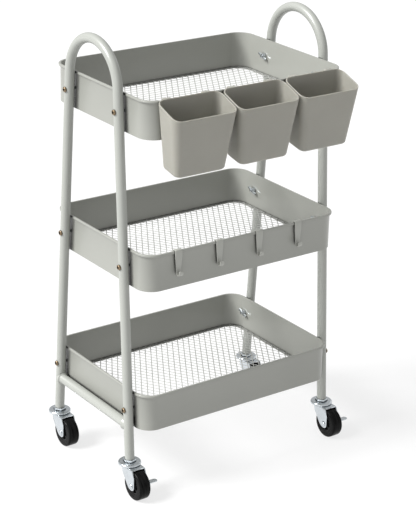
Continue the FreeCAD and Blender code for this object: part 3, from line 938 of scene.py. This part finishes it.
@dataclass
class Fasteners:
    """The four screws and wing nuts of one tray; sizes in millimetres."""

    tier: Tier
    head_radius: float = 4.3
    head_height: float = 2.6
    head_round: float = 1.4
    recess: float = 2.2
    recess_depth: float = 1.4
    shank: float = 2.0
    nut_radius: float = 4.5
    nut_length: float = 6.5
    wing_span: float = 21.0
    wing_depth: float = 5.0
    wing_thickness: float = 2.0
    wing_turn: float = 25.0
    wing_seat: float = 2.5
    wing_round: float = 2.2
    tip_reach: float = 2.5
    hub_taper: float = 0.78
    socket_gap: float = 0.15
    socket_sheet: float = 0.3

    def build(self, paint: Paintshop) -> None:
        """Make one screw and one wing nut at each of the four corners.

        Args:
            paint: the finishes.
        """
        tier = self.tier.value
        low, high, middle = span(f"{tier}_tray_screws")
        inset = middle.y - low.y - self.head_radius * MM
        seat = span(f"{tier}_tray_wing_nuts")[1].x
        made = []
        for way in (-1, 1):
            for row in (-1, 1):
                spot = Vector((high.x, middle.y + row * inset, middle.z))
                parts = [self.head(spot), self.socket(spot)]
                parts += [self.tip(spot, seat), self.nut(spot, seat)]
                made.append([self.turned_over(part, middle) if way < 0 else part for part in parts])
        groups = (
            ("screws", Finish.SCREW, "screw_steel", f"{tier}_tray_screws"),
            # The near-black recess discs are painted shade.
            ("screw_sockets", Finish.SOCKET, "screw_steel", ""),
            ("screw_shanks", Finish.ZINC, "screw_steel", ""),
            ("wing_nuts", Finish.ZINC, "zinc_steel", f"{tier}_tray_wing_nuts"),
        )
        for parts, (name, finish, slot, node) in zip(zip(*made), groups):
            piece = Bench.finish(Bench.join(list(parts), f"{tier}_{name}"), 35.0)
            hand_over(piece, paint, finish, "cart", node)

    @staticmethod
    def turned_over(piece: bpy.types.Object, middle: Vector) -> bpy.types.Object:
        """Turn a piece half round to the other end of the tray.

        Args:
            piece: the piece to turn.
            middle: the middle of the tray.

        Returns:
            The same piece.
        """
        Bench.edit(piece)
        Bench.turn(math.pi, Axis.Z, middle)
        Bench.clear()
        return piece

    def head(self, spot: Vector) -> bpy.types.Object:
        """Turn a domed head with a dished recess, its outermost point at a spot.

        Args:
            spot: the outermost point.

        Returns:
            The head.
        """
        tall = self.head_height * MM
        centre = spot - Vector((tall / 2, 0.0, 0.0))
        head = Bench.round_bar("screw", self.head_radius * MM, tall, centre, Axis.X, 32)
        Bench.edit(head)
        Bench.pick(Kind.EDGE, corners(lambda place: place.x > spot.x - TOUCH))
        Bench.bevel(self.head_round * MM, 5)
        Bench.pick(Kind.FACE, lambda face: face.normal.x > 0.99)
        bpy.ops.mesh.inset(thickness=(self.head_radius - self.head_round - self.recess) * MM)
        Bench.grow((-self.recess_depth * MM, 0.0, 0.0))
        Bench.clear()
        return head

    def tip(self, spot: Vector, seat: float) -> bpy.types.Object:
        """Turn the shank that runs from the head through the wing nut.

        Args:
            spot: the outermost point of the head.
            seat: where the wing nut meets the tray wall.

        Returns:
            The shank.
        """
        end = seat - (self.nut_length + self.tip_reach) * MM
        reach = spot.x - self.head_height * MM - end
        middle = Vector((end + reach / 2, spot.y, spot.z))
        shank = Bench.round_bar("shank", self.shank * MM, reach, middle, Axis.X, 24)
        Bench.edit(shank)
        Bench.pick(Kind.EDGE, corners(lambda place: place.x < end + TOUCH))
        Bench.bevel(0.5 * MM, 2)
        Bench.clear()
        return shank

    def socket(self, spot: Vector) -> bpy.types.Object:
        """Set a near-black six-sided disc into the recess: painted shade at the bottom of the
        pocket.

        Args:
            spot: the outermost point of the head.

        Returns:
            The painted shade disc.
        """
        depth = (self.recess_depth - self.socket_gap) * MM
        centre = spot - Vector((depth, 0.0, 0.0))
        radius = (self.recess - self.socket_gap) * MM
        return Bench.round_bar("socket", radius, self.socket_sheet * MM, centre, Axis.X, 6)

    def nut(self, spot: Vector, seat: float) -> bpy.types.Object:
        """Shape the tapered hub with its two flared wings.

        Args:
            spot: the outermost point of the screw head.
            seat: where the nut meets the tray wall.

        Returns:
            The wing nut.
        """
        long = self.nut_length * MM
        half_way = seat - long / 2
        axis = Vector((half_way, spot.y, spot.z))
        hub = Bench.round_bar("hub", self.nut_radius * MM, long, axis, Axis.X, 28)
        Bench.edit(hub)
        outer = Vector((seat - long, spot.y, spot.z))
        Bench.pick(Kind.VERT, lambda vert: vert.co.x < half_way)
        Bench.resize((1.0, self.hub_taper, self.hub_taper), outer)
        Bench.pick(Kind.EDGE, corners(lambda place: place.x < half_way))
        Bench.bevel(0.6 * MM, 2)
        size = Vector((self.wing_depth, self.wing_span, self.wing_thickness)) * MM
        centre = Vector((seat - self.wing_seat * MM - size.x / 2, spot.y, spot.z))
        wing = Bench.block("wing", size, centre)
        Bench.edit(wing)
        Bench.pick(Kind.EDGE, lambda edge: along(edge, Axis.Z) > size.z * 0.75)
        Bench.bevel(self.wing_round * MM, 5)
        Bench.soften(wing, 0.5 * MM, 50.0)
        nut = Bench.join([hub, wing], "nut")
        Bench.edit(nut)
        Bench.turn(-math.radians(self.wing_turn), Axis.X, axis)
        Bench.clear()
        return nut


@dataclass
class Cup:
    """One hanging cup; sizes in millimetres."""

    number: int
    width: float = 118.0
    depth: float = 56.0
    corner: float = 14.0
    corner_steps: int = 10
    base_width: float = 94.0
    base_depth: float = 42.0
    back_height: float = 106.0
    rim_rise: float = 2.0
    top_slope: float = 0.36
    base_slope: float = 0.21
    wall: float = 2.2
    edge_round: float = 0.7
    foot_round: float = 4.5
    lip_width: float = 14.0
    lip_inset: float = 16.0
    lip_sheet: float = 1.6
    lip_drop: float = 9.0
    lip_tail: float = 1.2
    lip_round: float = 0.6
    rim_depth: float = 3.3
    hang_gap: float = 0.4

    def build(self, paint: Paintshop) -> bpy.types.Object:
        """Draw the tapered body, hollow it and add its two lips.

        Args:
            paint: the finishes.

        Returns:
            The cup.
        """
        node = f"cup_{self.number}"
        middle = span(node)[2]
        rim = span("top_tray_shell")
        name = f"hanging_cup_{self.number}"
        back = rim[0].y - self.hang_gap * MM
        top = rim[1].z + self.rim_rise * MM
        width, depth = self.width * MM, self.depth * MM
        centre = Vector((middle.x, back - depth / 2, top))
        cup = Bench.outline(name, width, depth, self.corner * MM, centre, self.corner_steps)
        edge = Vector((middle.x, back, top))
        self.slope(self.top_slope, edge)
        Bench.grow((0.0, 0.0, -self.back_height * MM))
        below = edge - Vector((0.0, 0.0, self.back_height * MM))
        Bench.resize((self.base_width / self.width, self.base_depth / self.depth, 0.0), below)
        self.slope(self.base_slope, below)
        self.pick_end((top + below.z) / 2, -1)
        bpy.ops.mesh.select_mode(type="EDGE")
        Bench.bevel(self.foot_round * MM, 5)
        bpy.ops.mesh.select_all(action="SELECT")
        bpy.ops.mesh.normals_make_consistent(inside=False)
        self.pick_end((top + below.z) / 2, 1)
        bpy.ops.mesh.delete(type="FACE")
        Bench.modify(cup, "SOLIDIFY", thickness=self.wall * MM, offset=-1.0, use_even_offset=True)
        Bench.soften(cup, self.edge_round * MM, 50.0, 3)
        lips = [self.lip(middle.x + way * self.lip_spacing() / 2, rim) for way in (-1, 1)]
        cup = Bench.join([cup, *lips], name)
        Bench.finish(cup, 50.0)
        Bench.modify(cup, "WEIGHTED_NORMAL", keep_sharp=True, weight=80)
        hand_over(cup, paint, Finish.CUP, f"cup_{self.number}_body", node)
        return cup

    @staticmethod
    def pick_end(half_way: float, way: int) -> None:
        """Select the cup's many-sided end face above (1) or below (-1) half-way."""
        Bench.pick(
            Kind.FACE,
            lambda face: len(face.verts) > 8
            and way * (face.calc_center_median().z - half_way) > 0,
        )

    def lip_spacing(self) -> float:
        """Distance between the middles of the two lips, in metres."""
        return (self.width - 2 * self.lip_inset - self.lip_width) * MM

    @staticmethod
    def slope(rate: float, pivot: Vector) -> None:
        """Lean a flat outline so that its front hangs lower than its back.

        Args:
            rate: how much lower, per unit of depth.
            pivot: a point of the back edge.
        """
        turn = math.asin(rate)
        Bench.turn(-turn, Axis.X, pivot)
        Bench.resize((1.0, 1.0 / math.cos(turn), 1.0), pivot)

    def lip(self, x: float, rim: tuple[Vector, Vector, Vector]) -> bpy.types.Object:
        """Bend one lip over the rim of the tray.

        Args:
            x: the middle of the lip.
            rim: the box of the tray wall.

        Returns:
            The lip.
        """
        sheet = self.lip_sheet * MM
        back = rim[0].y - self.hang_gap * MM
        top = rim[1].z + self.hang_gap * MM + sheet
        inner = rim[0].y + (self.rim_depth + self.hang_gap) * MM + sheet
        long = inner - back + self.lip_tail * MM
        centre = Vector((x, inner - long / 2, top - sheet / 2))
        lip = Bench.block("lip", (self.lip_width * MM, long, sheet), centre)
        Bench.edit(lip)
        Bench.cut((x, inner - sheet, top), (0.0, 1.0, 0.0))
        Bench.pick(
            Kind.FACE,
            lambda face: face.normal.z < -0.9 and face.calc_center_median().y > inner - sheet,
        )
        Bench.grow((0.0, 0.0, -(self.lip_drop * MM - sheet)))
        Bench.soften(lip, self.lip_round * MM, 40.0, 3)
        return lip


@dataclass
class Hook:
    """One flat hook on the rim of the middle tray; sizes in millimetres."""

    number: int
    width: float = 13.0
    end_width: float = 8.0
    sheet: float = 1.8
    mouth: float = 6.0
    turn_up: float = 7.0
    lip_drop: float = 9.0
    bend: float = 1.6
    bend_steps: int = 10
    strap_steps: int = 3
    edge_round: float = 0.45
    tip_round: float = 2.4

    def build(self, paint: Paintshop) -> bpy.types.Object:
        """Bend a strip over the rim, down, out and up, and give it its thickness.

        Args:
            paint: the finishes.

        Returns:
            The hook.
        """
        node = f"hook_{self.number}"
        low, high, middle = span(node)
        sheet = self.sheet * MM
        half = sheet / 2
        strap_y = low.y + (2.0 * self.sheet + self.mouth) * MM - half
        inner_y = high.y - half
        top_z = high.z - half
        turn = (self.mouth / 2) * MM + half
        drop = self.lip_drop * MM - half
        centre = Vector((middle.x, inner_y, top_z - drop / 2))
        Bench.clear()
        bpy.ops.mesh.primitive_plane_add(size=1.0, location=centre, rotation=Axis.Y.value)
        hook = Bench.take(f"rim_hook_{self.number}")
        Bench.edit(hook)
        Bench.resize((self.width * MM, 1.0, drop), centre)
        self.pick_edge(inner_y, top_z)
        Bench.grow((0.0, strap_y - inner_y, 0.0))
        bend_z = low.z + half + turn
        fall = (top_z - bend_z) / self.strap_steps
        for _ in range(self.strap_steps):
            Bench.grow((0.0, 0.0, -fall))
        hub = Vector((middle.x, strap_y - turn, bend_z))
        bpy.ops.mesh.spin(steps=self.bend_steps, angle=math.pi, center=hub, axis=(1.0, 0.0, 0.0))
        Bench.grow((0.0, 0.0, self.turn_up * MM + sheet - turn - half))
        Bench.weld(TOUCH)
        ratio = self.end_width / self.width
        Bench.pick(Kind.VERT, lambda vert: vert.co.z < bend_z + NEAR or vert.co.y < strap_y - half)
        Bench.resize((ratio, 1.0, 1.0), hub)
        Bench.pick(
            Kind.VERT,
            lambda vert: abs(vert.co.z - bend_z - fall) < NEAR and abs(vert.co.y - strap_y) < half,
        )
        Bench.resize(((1.0 + ratio) / 2, 1.0, 1.0), hub)
        top = corners(lambda place: abs(place.z - top_z) < CLOSE)
        Bench.pick(Kind.EDGE, lambda edge: top(edge) and along(edge, Axis.Y) < CLOSE)
        Bench.bevel(self.bend * MM, 5)
        Bench.pick(
            Kind.VERT, lambda vert: vert.co.y < low.y + sheet and len(vert.link_edges) == 2
        )
        bpy.ops.mesh.bevel(offset=self.tip_round * MM, segments=4, affect="VERTICES")
        Bench.modify(hook, "SOLIDIFY", thickness=sheet, offset=0.0, use_even_offset=True)
        Bench.soften(hook, self.edge_round * MM, 50.0, 3)
        Bench.finish(hook, 45.0)
        hand_over(hook, paint, Finish.HOOK, f"hook_{self.number}_body", node)
        return hook

    @staticmethod
    def pick_edge(y: float, z: float) -> None:
        """Select the edge of the strip that lies at one place."""
        Bench.pick(
            Kind.EDGE,
            corners(lambda place: abs(place.y - y) < CLOSE and abs(place.z - z) < CLOSE),
        )


@dataclass
class Caster:
    """One swivel caster, modelled under the front left leg; sizes in millimetres."""

    trail: float = 24.0
    axle_height: float = 25.0
    wheel_radius: float = 25.0
    wheel_width: float = 20.0
    shoulder: float = 3.0
    hub_radius: float = 14.0
    boss_radius: float = 7.0
    hub_width: float = 21.0
    fork_inside: float = 22.0
    fork_sheet: float = 1.8
    fork_top: float = 53.6
    plate_radius: float = 15.5
    front_reach: float = 26.0
    back_reach: float = 4.0
    end_radius: float = 7.5
    neck_drop: float = 12.0
    neck_taper: float = 2.0
    race_radius: float = 14.5
    race_height: float = 2.0
    cap_radius: float = 19.0
    cap_bottom: float = 54.0
    cap_top: float = 57.8
    cap_sheet: float = 1.6
    nut_radius: float = 10.97
    nut_top: float = 62.28
    nut_turn: float = 15.0
    axle_radius: float = 2.5
    rivet_radius: float = 4.5
    rivet_height: float = 1.8
    bend_round: float = 1.6
    end_round: float = 6.9
    crown_round: float = 2.6
    groove_share: float = 0.45
    groove_width: float = 0.5
    groove_depth: float = 0.4
    hub_rim: float = 1.6
    hub_dish: float = 3.0
    rib_width: float = 1.4
    hair: float = 0.02
    lever_room: float = 2.2
    lever_sheet: float = 1.5
    lever_gap: float = 0.35
    lever_arm: float = 11.0
    lever_height: float = 8.0
    eye_radius: float = 6.5
    tab_length: float = 16.5
    tab_half: float = 5.0
    tab_lift: float = 4.0
    tab_round: float = 4.5
    tab_fold: float = 1.3
    arm_lift: float = 0.5
    arm_heel: float = 2.0
    arm_toe: float = 3.0
    pieces: dict[str, bpy.types.Object] = field(default_factory=dict)
    home: Vector = field(default_factory=Vector)

    def build(self, paint: Paintshop) -> None:
        """Model every part once and set copies under the four legs.

        Args:
            paint: the finishes.
        """
        self.home = self.stem("front_left")
        self.cap()
        self.nut()
        self.fork()
        self.tyre()
        self.hub()
        for braked in (False, True):
            self.axle(braked)
        self.lever()
        for row in ("front", "rear"):
            for end in ("left", "right"):
                self.mount(paint, row, end, self.stem(f"{row}_{end}") - self.home)
        for piece in self.pieces.values():
            bpy.data.objects.remove(piece)

    @staticmethod
    def stem(name: str) -> Vector:
        """Where the stem of one caster meets the floor."""
        middle = span(f"{name}_cap")[2]
        return Vector((middle.x, middle.y, 0.0))

    def mount(self, paint: Paintshop, row: str, end: str, move: Vector) -> None:
        """Set one caster under its leg.

        Args:
            paint: the finishes.
            row: front or rear.
            end: left or right.
            move: from the modelled caster to this one.
        """
        name = f"{row}_{end}"
        braked = row == "front"
        axle = "long_axle" if braked else "axle"
        fittings = [
            ("cap", "cap", Finish.ZINC, "cart", "zinc_steel"),
            ("nut", "stem_nut", Finish.ZINC, "cart", "zinc_steel"),
            ("fork", "fork", Finish.ZINC, f"{name}_caster", "zinc_steel"),
            (axle, "axle", Finish.ZINC, f"{name}_caster", "zinc_steel"),
            ("tyre", "tyre", Finish.TYRE, f"{name}_wheel", "wheel_rubber"),
            ("hub", "hub", Finish.PLASTIC, f"{name}_wheel", "black_plastic"),
        ]
        if braked:
            fittings.append(("lever", "brake_lever", Finish.ZINC, f"{name}_brake", "zinc_steel"))
        for part, node, finish, body, slot in fittings:
            piece = Bench.copy(self.pieces[part], f"{name}_{part}_piece", move)
            hand_over(piece, paint, finish, body, f"{name}_{node}")

    def at(self, x: float, y: float, z: float) -> Vector:
        """A place in millimetres from the foot of the stem."""
        return self.home + Vector((x, y, z)) * MM

    def hub_middle(self) -> Vector:
        """The middle of the wheel."""
        return self.at(0.0, -self.trail, self.axle_height)

    def bar(
        self, name: str, radius: float, length: float, middle: Vector, lie: Axis, sides: int
    ) -> bpy.types.Object:
        """Start a cylinder from sizes in millimetres.

        Args:
            name: the piece's name.
            radius: its radius.
            length: its length.
            middle: its middle in the frame.
            lie: the axis it lies along.
            sides: how many flat sides it has.

        Returns:
            The new object.
        """
        return Bench.round_bar(name, radius * MM, length * MM, middle, lie, sides)

    def keep(self, part: str, pieces: list[bpy.types.Object], angle: float = 35.0) -> None:
        """Finish one part and keep it for copying."""
        self.pieces[part] = Bench.finish(Bench.join(pieces, f"caster_{part}"), angle)

    def cap(self) -> None:
        """Press the round cap with its crowned shoulder and hollow skirt."""
        tall = self.cap_top - self.cap_bottom
        middle = self.at(0.0, 0.0, (self.cap_top + self.cap_bottom) / 2)
        cap = self.bar("cap", self.cap_radius, tall, middle, Axis.Z, 56)
        Bench.edit(cap)
        Bench.pick(Kind.EDGE, corners(lambda place: place.z > middle.z))
        Bench.bevel(self.crown_round * MM, 6)
        Bench.pick(Kind.FACE, lambda face: face.normal.z < -0.99)
        bpy.ops.mesh.inset(thickness=self.cap_sheet * MM)
        Bench.grow((0.0, 0.0, (tall - self.cap_sheet) * MM))
        self.keep("cap", [cap])

    def nut(self) -> None:
        """Cut the hex nut with chamfered corners."""
        tall = self.nut_top - self.cap_top - self.hair
        middle = self.at(0.0, 0.0, self.cap_top + self.hair + tall / 2)
        nut = self.bar("nut", self.nut_radius, tall, middle, Axis.Z, 6)
        Bench.edit(nut)
        Bench.turn(math.radians(self.nut_turn), Axis.Z, middle)
        Bench.soften(nut, 0.7 * MM, 30.0, 3)
        self.keep("nut", [nut])

    def fork(self) -> None:
        """Stamp the fork: round top, race, bridge and two tapered side plates."""
        sheet = self.fork_sheet
        level = self.fork_top - sheet / 2
        disc = self.bar("disc", self.plate_radius, sheet, self.at(0, 0, level), Axis.Z, 56)
        Bench.soften(disc, 0.4 * MM)
        wide = self.fork_inside + 2 * sheet
        long = self.front_reach + self.back_reach
        middle = self.at(0, (self.back_reach - self.front_reach) / 2, level)
        bridge = Bench.block("bridge", (wide * MM, long * MM, sheet * MM), middle)
        Bench.edit(bridge)
        Bench.pick(
            Kind.EDGE,
            lambda edge: along(edge, Axis.Y) > MM and edge.verts[0].co.z > level * MM,
        )
        Bench.bevel(self.bend_round * MM, 5)
        Bench.clear()
        race_middle = self.at(0, 0, self.fork_top + self.race_height / 2)
        race = self.bar("race", self.race_radius, self.race_height, race_middle, Axis.Z, 56)
        Bench.soften(race, 0.5 * MM)
        sides = [self.side_plate(way) for way in (-1, 1)]
        self.keep("fork", [disc, bridge, race, *sides])

    def side_plate(self, way: int) -> bpy.types.Object:
        """Shape one side plate of the fork, round about the axle.

        Args:
            way: -1 for the left plate, 1 for the right.

        Returns:
            The plate.
        """
        x = way * (self.fork_inside + self.fork_sheet) / 2
        low = self.axle_height - self.end_radius
        top = self.fork_top - self.fork_sheet / 2
        centre = self.at(x, -self.trail, (low + top) / 2)
        size = Vector((self.fork_sheet, 2 * self.end_radius, top - low)) * MM
        plate = Bench.block("side", size, centre)
        neck = self.fork_top - self.neck_drop
        Bench.edit(plate)
        Bench.cut(self.at(0, 0, neck), (0.0, 0.0, 1.0))
        axle_y = centre.y
        for height, reach in ((top, self.back_reach), (neck, self.back_reach - self.neck_taper)):
            move = (0.0, (reach + self.trail - self.end_radius) * MM, 0.0)
            level = height * MM
            self.shift(lambda place: abs(place.z - level) < NEAR and place.y > axle_y, move)
        move = (0.0, (self.trail + self.end_radius - self.front_reach) * MM, 0.0)
        level = top * MM
        self.shift(lambda place: abs(place.z - level) < NEAR and place.y < axle_y, move)
        Bench.pick(
            Kind.EDGE,
            lambda edge: along(edge, Axis.X) > MM and edge.verts[0].co.z < (low + 1) * MM,
        )
        Bench.bevel(self.end_round * MM, 8)
        Bench.soften(plate, 0.35 * MM, 50.0)
        return plate
    @staticmethod
    def shift(test: Callable[[Vector], bool], offset: Point) -> None:
        """Move the corners of the open piece whose places pass a test."""
        Bench.pick(Kind.VERT, lambda vert: test(vert.co))
        bpy.ops.transform.translate(value=offset)

    def tyre(self) -> None:
        """Turn the tread ring with its round shoulders and a fine groove in each side."""
        middle = self.hub_middle()
        tyre = self.bar("tyre", self.wheel_radius, self.wheel_width, middle, Axis.X, 96)
        Bench.edit(tyre)
        Bench.pick(Kind.EDGE, lambda edge: along(edge, Axis.X) < TOUCH)
        Bench.bevel(self.shoulder * MM, 6)
        Bench.pick(Kind.FACE, lambda face: abs(face.normal.x) > 0.9999)
        flat = self.wheel_radius - self.shoulder - self.hub_radius
        outer = flat * self.groove_share
        bpy.ops.mesh.inset(thickness=outer * MM)
        bpy.ops.mesh.inset(thickness=self.groove_width * MM, depth=-self.groove_depth * MM)
        bpy.ops.mesh.inset(thickness=(flat - outer - self.groove_width) * MM)
        bpy.ops.mesh.delete(type="FACE")
        Bench.pick(Kind.EDGE, lambda edge: edge.is_boundary)
        bpy.ops.mesh.bridge_edge_loops()
        self.keep("tyre", [tyre])

    def hub(self) -> None:
        """Mould the wheel centre: rim, dished web, boss and ribs."""
        middle = self.hub_middle()
        wide = self.wheel_width - 2.0
        body = self.bar("body", self.hub_radius - self.hair, wide, middle, Axis.X, 64)
        Bench.edit(body)
        Bench.pick(Kind.FACE, lambda face: abs(face.normal.x) > 0.99)
        bpy.ops.mesh.inset(thickness=self.hub_rim * MM)
        bpy.ops.mesh.inset(thickness=0.6 * MM, depth=-self.hub_dish * MM)
        boss = self.bar("boss", self.boss_radius, self.hub_width, middle, Axis.X, 40)
        Bench.soften(boss, 0.5 * MM, 50.0)
        ribs = []
        size = Vector((wide - 1.0, self.rib_width, 2 * self.hub_radius - 2.4)) * MM
        for step in range(3):
            rib = Bench.block("rib", size, middle)
            Bench.edit(rib)
            Bench.turn(step * math.pi / 3, Axis.X, middle)
            Bench.clear()
            ribs.append(rib)
        self.keep("hub", [body, boss, *ribs])

    def axle(self, braked: bool) -> None:
        """Rivet the axle; the braked one is longer and also carries the lever.

        Args:
            braked: whether it is the braked one.
        """
        half = self.fork_inside / 2 + self.fork_sheet
        left, right = -half - self.hair, half + (self.lever_room if braked else self.hair)
        y, z = -self.trail, self.axle_height
        middle = self.at((left + right) / 2, y, z)
        shank = self.bar("shank", self.axle_radius, right - left, middle, Axis.X, 32)
        heads = []
        for way, face in ((-1, left), (1, right)):
            centre = self.at(face + way * self.rivet_height / 2, y, z)
            head = self.bar("head", self.rivet_radius, self.rivet_height, centre, Axis.X, 36)
            Bench.edit(head)
            Bench.pick(Kind.EDGE, corners(lambda place: (place.x - centre.x) * way > 0))
            Bench.bevel(1.5 * MM, 5)
            Bench.clear()
            heads.append(head)
        self.keep("long_axle" if braked else "axle", [shank, *heads])

    def lever(self) -> None:
        """Press the brake lever: eye, arm and outward foot tab."""
        sheet, arm, half = self.lever_sheet, self.lever_arm, self.tab_half
        x = self.fork_inside / 2 + self.fork_sheet + self.lever_gap
        y, z = -self.trail, self.axle_height
        eye = self.bar("eye", self.eye_radius, sheet, self.at(x + sheet / 2, y, z), Axis.X, 48)
        Bench.soften(eye, 0.3 * MM, 50.0)
        tab_top = z + self.tab_lift + sheet
        middle = self.at(x + self.tab_length / 2, y - arm, tab_top - sheet / 2)
        tab = Bench.block("tab", Vector((self.tab_length, 2 * half, sheet)) * MM, middle)
        Bench.edit(tab)
        Bench.pick(
            Kind.EDGE,
            lambda edge: along(edge, Axis.Z) > 1.2 * MM and edge.verts[0].co.x > middle.x,
        )
        Bench.bevel(self.tab_round * MM, 6)
        Bench.pick(Kind.EDGE, corners(lambda spot: spot.x < middle.x and spot.z > middle.z))
        Bench.bevel(self.tab_fold * MM, 4)
        Bench.soften(tab, 0.35 * MM, 50.0)
        middle = self.at(x + sheet / 2, y - (arm + half) / 2, z + self.arm_lift)
        size = Vector((sheet, arm + half, self.lever_height)) * MM
        plate = Bench.block("arm", size, middle)
        Bench.edit(plate)
        heel, toe = (0.0, 0.0, -self.arm_heel * MM), (0.0, 0.0, self.arm_toe * MM)
        self.shift(lambda spot: spot.y > middle.y and spot.z < middle.z, heel)
        self.shift(lambda spot: spot.y < middle.y and spot.z < middle.z, toe)
        Bench.soften(plate, 0.3 * MM, 50.0)
        self.keep("lever", [eye, tab, plate])


@dataclass
class Studio:
    """Camera, floor and soft lights."""

    target: Point = (19.8 * MM, 28.2 * MM, 398.8 * MM)
    azimuth: float = -36.02
    elevation: float = 20.59
    roll: float = 1.40
    distance: float = 2.8577
    lens: float = 121.45
    shift: float = -0.07
    world: float = 0.55
    floor_size: float = 30.0
    floor_tone: float = 0.2
    floor_glow: float = 0.74

    @staticmethod
    def hang(name: str, data: bpy.types.ID, place: Matrix) -> bpy.types.Object:
        """Put a camera or a light into the scene at its place.

        Args:
            name: its name.
            data: the camera or light data.
            place: where it stands and how it is turned.

        Returns:
            The new object.
        """
        thing = bpy.data.objects.new(name, data)
        bpy.context.scene.collection.objects.link(thing)
        thing.matrix_world = place
        return thing

    def build(self) -> None:
        """Set up the whole studio."""
        self.camera()
        self.ground()
        self.lights()
        bpy.context.scene.view_settings.view_transform = "Standard"

    def camera(self) -> None:
        """Place the camera by its angles about the target."""
        azimuth, elevation, roll = (
            math.radians(x) for x in (self.azimuth, self.elevation, self.roll)
        )
        flat = math.cos(elevation)
        ahead = Vector(
            (-math.sin(azimuth) * flat, math.cos(azimuth) * flat, -math.sin(elevation))
        )
        right = Vector((math.cos(azimuth), math.sin(azimuth), 0.0))
        up = right.cross(ahead)
        across = math.cos(roll) * right + math.sin(roll) * up
        upright = -math.sin(roll) * right + math.cos(roll) * up
        data = bpy.data.cameras.new("camera")
        data.lens = self.lens
        data.sensor_width = 36.0
        data.shift_y = self.shift
        data.clip_start, data.clip_end = 0.05, 60.0
        turn = Matrix((across, upright, -ahead)).transposed().to_4x4()
        place = Matrix.Translation(Vector(self.target) - ahead * self.distance) @ turn
        bpy.context.scene.camera = self.hang("camera", data, place)

    def ground(self) -> None:
        """Lay a plain pale floor."""
        Bench.clear()
        bpy.ops.mesh.primitive_plane_add(size=self.floor_size, location=(0.0, 0.0, 0.0))
        floor = Bench.take("studio_floor")
        nodes = Nodes("studio_paper")
        tone = self.floor_tone
        nodes.colours(nodes.noise(0.4), (tone, tone, tone), (tone, tone, tone))
        nodes.set(Roughness=0.9, Specular_IOR_Level=0.0)
        nodes.set(Emission_Color=(1.0, 1.0, 1.0, 1.0), Emission_Strength=self.floor_glow)
        floor.data.materials.append(nodes.material)

    def lights(self) -> None:
        """Hang the soft lights and set the surround."""
        world = bpy.data.worlds.new("surround")
        world.use_nodes = True
        background = world.node_tree.nodes["Background"].inputs
        background["Color"].default_value = (1.0, 1.0, 1.0, 1.0)
        background["Strength"].default_value = self.world
        bpy.context.scene.world = world
        self.sun("daylight", (-1.0, 0.27, 0.95), 24.0, 5.3)
        self.lamp("key", (-2.4, -1.6, 1.2), 0.5, 3.0)
        self.lamp("right", (2.6, 0.6, 1.4), 1.0, 4.0)

    def sun(self, name: str, toward: Point, spread: float, strength: float) -> None:
        """Hang one broad, even light far away.

        Args:
            name: the light's name.
            toward: the direction it shines from.
            spread: how wide it is in the sky, in degrees.
            strength: its strength.
        """
        data = bpy.data.lights.new(name, "SUN")
        data.angle = math.radians(spread)
        data.energy = strength
        self.hang(name, data, Vector(toward).to_track_quat("Z", "Y").to_matrix().to_4x4())

    def lamp(self, name: str, place: Point, size: float, power: float) -> None:
        """Hang one soft light that faces the middle of the cart.

        Args:
            name: the light's name.
            place: where it hangs.
            size: the side of its square face.
            power: its power in watts.
        """
        data = bpy.data.lights.new(name, "AREA")
        data.size = size
        data.energy = power
        aim = Vector((0.0, 0.0, 0.4)) - Vector(place)
        turn = aim.to_track_quat("-Z", "Y").to_matrix().to_4x4()
        self.hang(name, data, Matrix.Translation(place) @ turn)


def carried_finish(node: str) -> Finish:
    """The finish of a CAD node that is shown as it is.

    Args:
        node: the node's name.

    Returns:
        Its finish.
    """
    finishes = (
        ("_tray_shell", Finish.TRAY),
        ("_tray_ledge", Finish.TRAY),
        ("_frame_tube", Finish.FRAME),
        ("_frame_stretcher", Finish.FRAME),
        ("_tray_screws", Finish.SCREW),
        ("_tyre", Finish.TYRE),
        ("_hub", Finish.PLASTIC),
        ("leg_inserts", Finish.PLASTIC),
        ("cup_", Finish.CUP),
        ("hook_", Finish.HOOK),
    )
    return next((finish for mark, finish in finishes if mark in node), Finish.ZINC)


def main() -> None:
    """Build the studio and every piece, and report each one."""
    logging.basicConfig(level=logging.INFO, format="%(name)s: %(message)s")
    paint = Paintshop()
    Studio().build()
    for node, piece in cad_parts.items():
        paint.coat(piece, carried_finish(node))
    for tier in Tier:
        TrayWall(tier).build(paint)
        MeshFloor(tier).build(paint)
        Fasteners(tier).build(paint)
    for side in ("left", "right"):
        EndFrame(side).build(paint)
    for number in range(1, 4):
        Cup(number).build(paint)
    for number in range(1, 5):
        Hook(number).build(paint)
    Caster().build(paint)


if __name__ == "__main__":
    main()
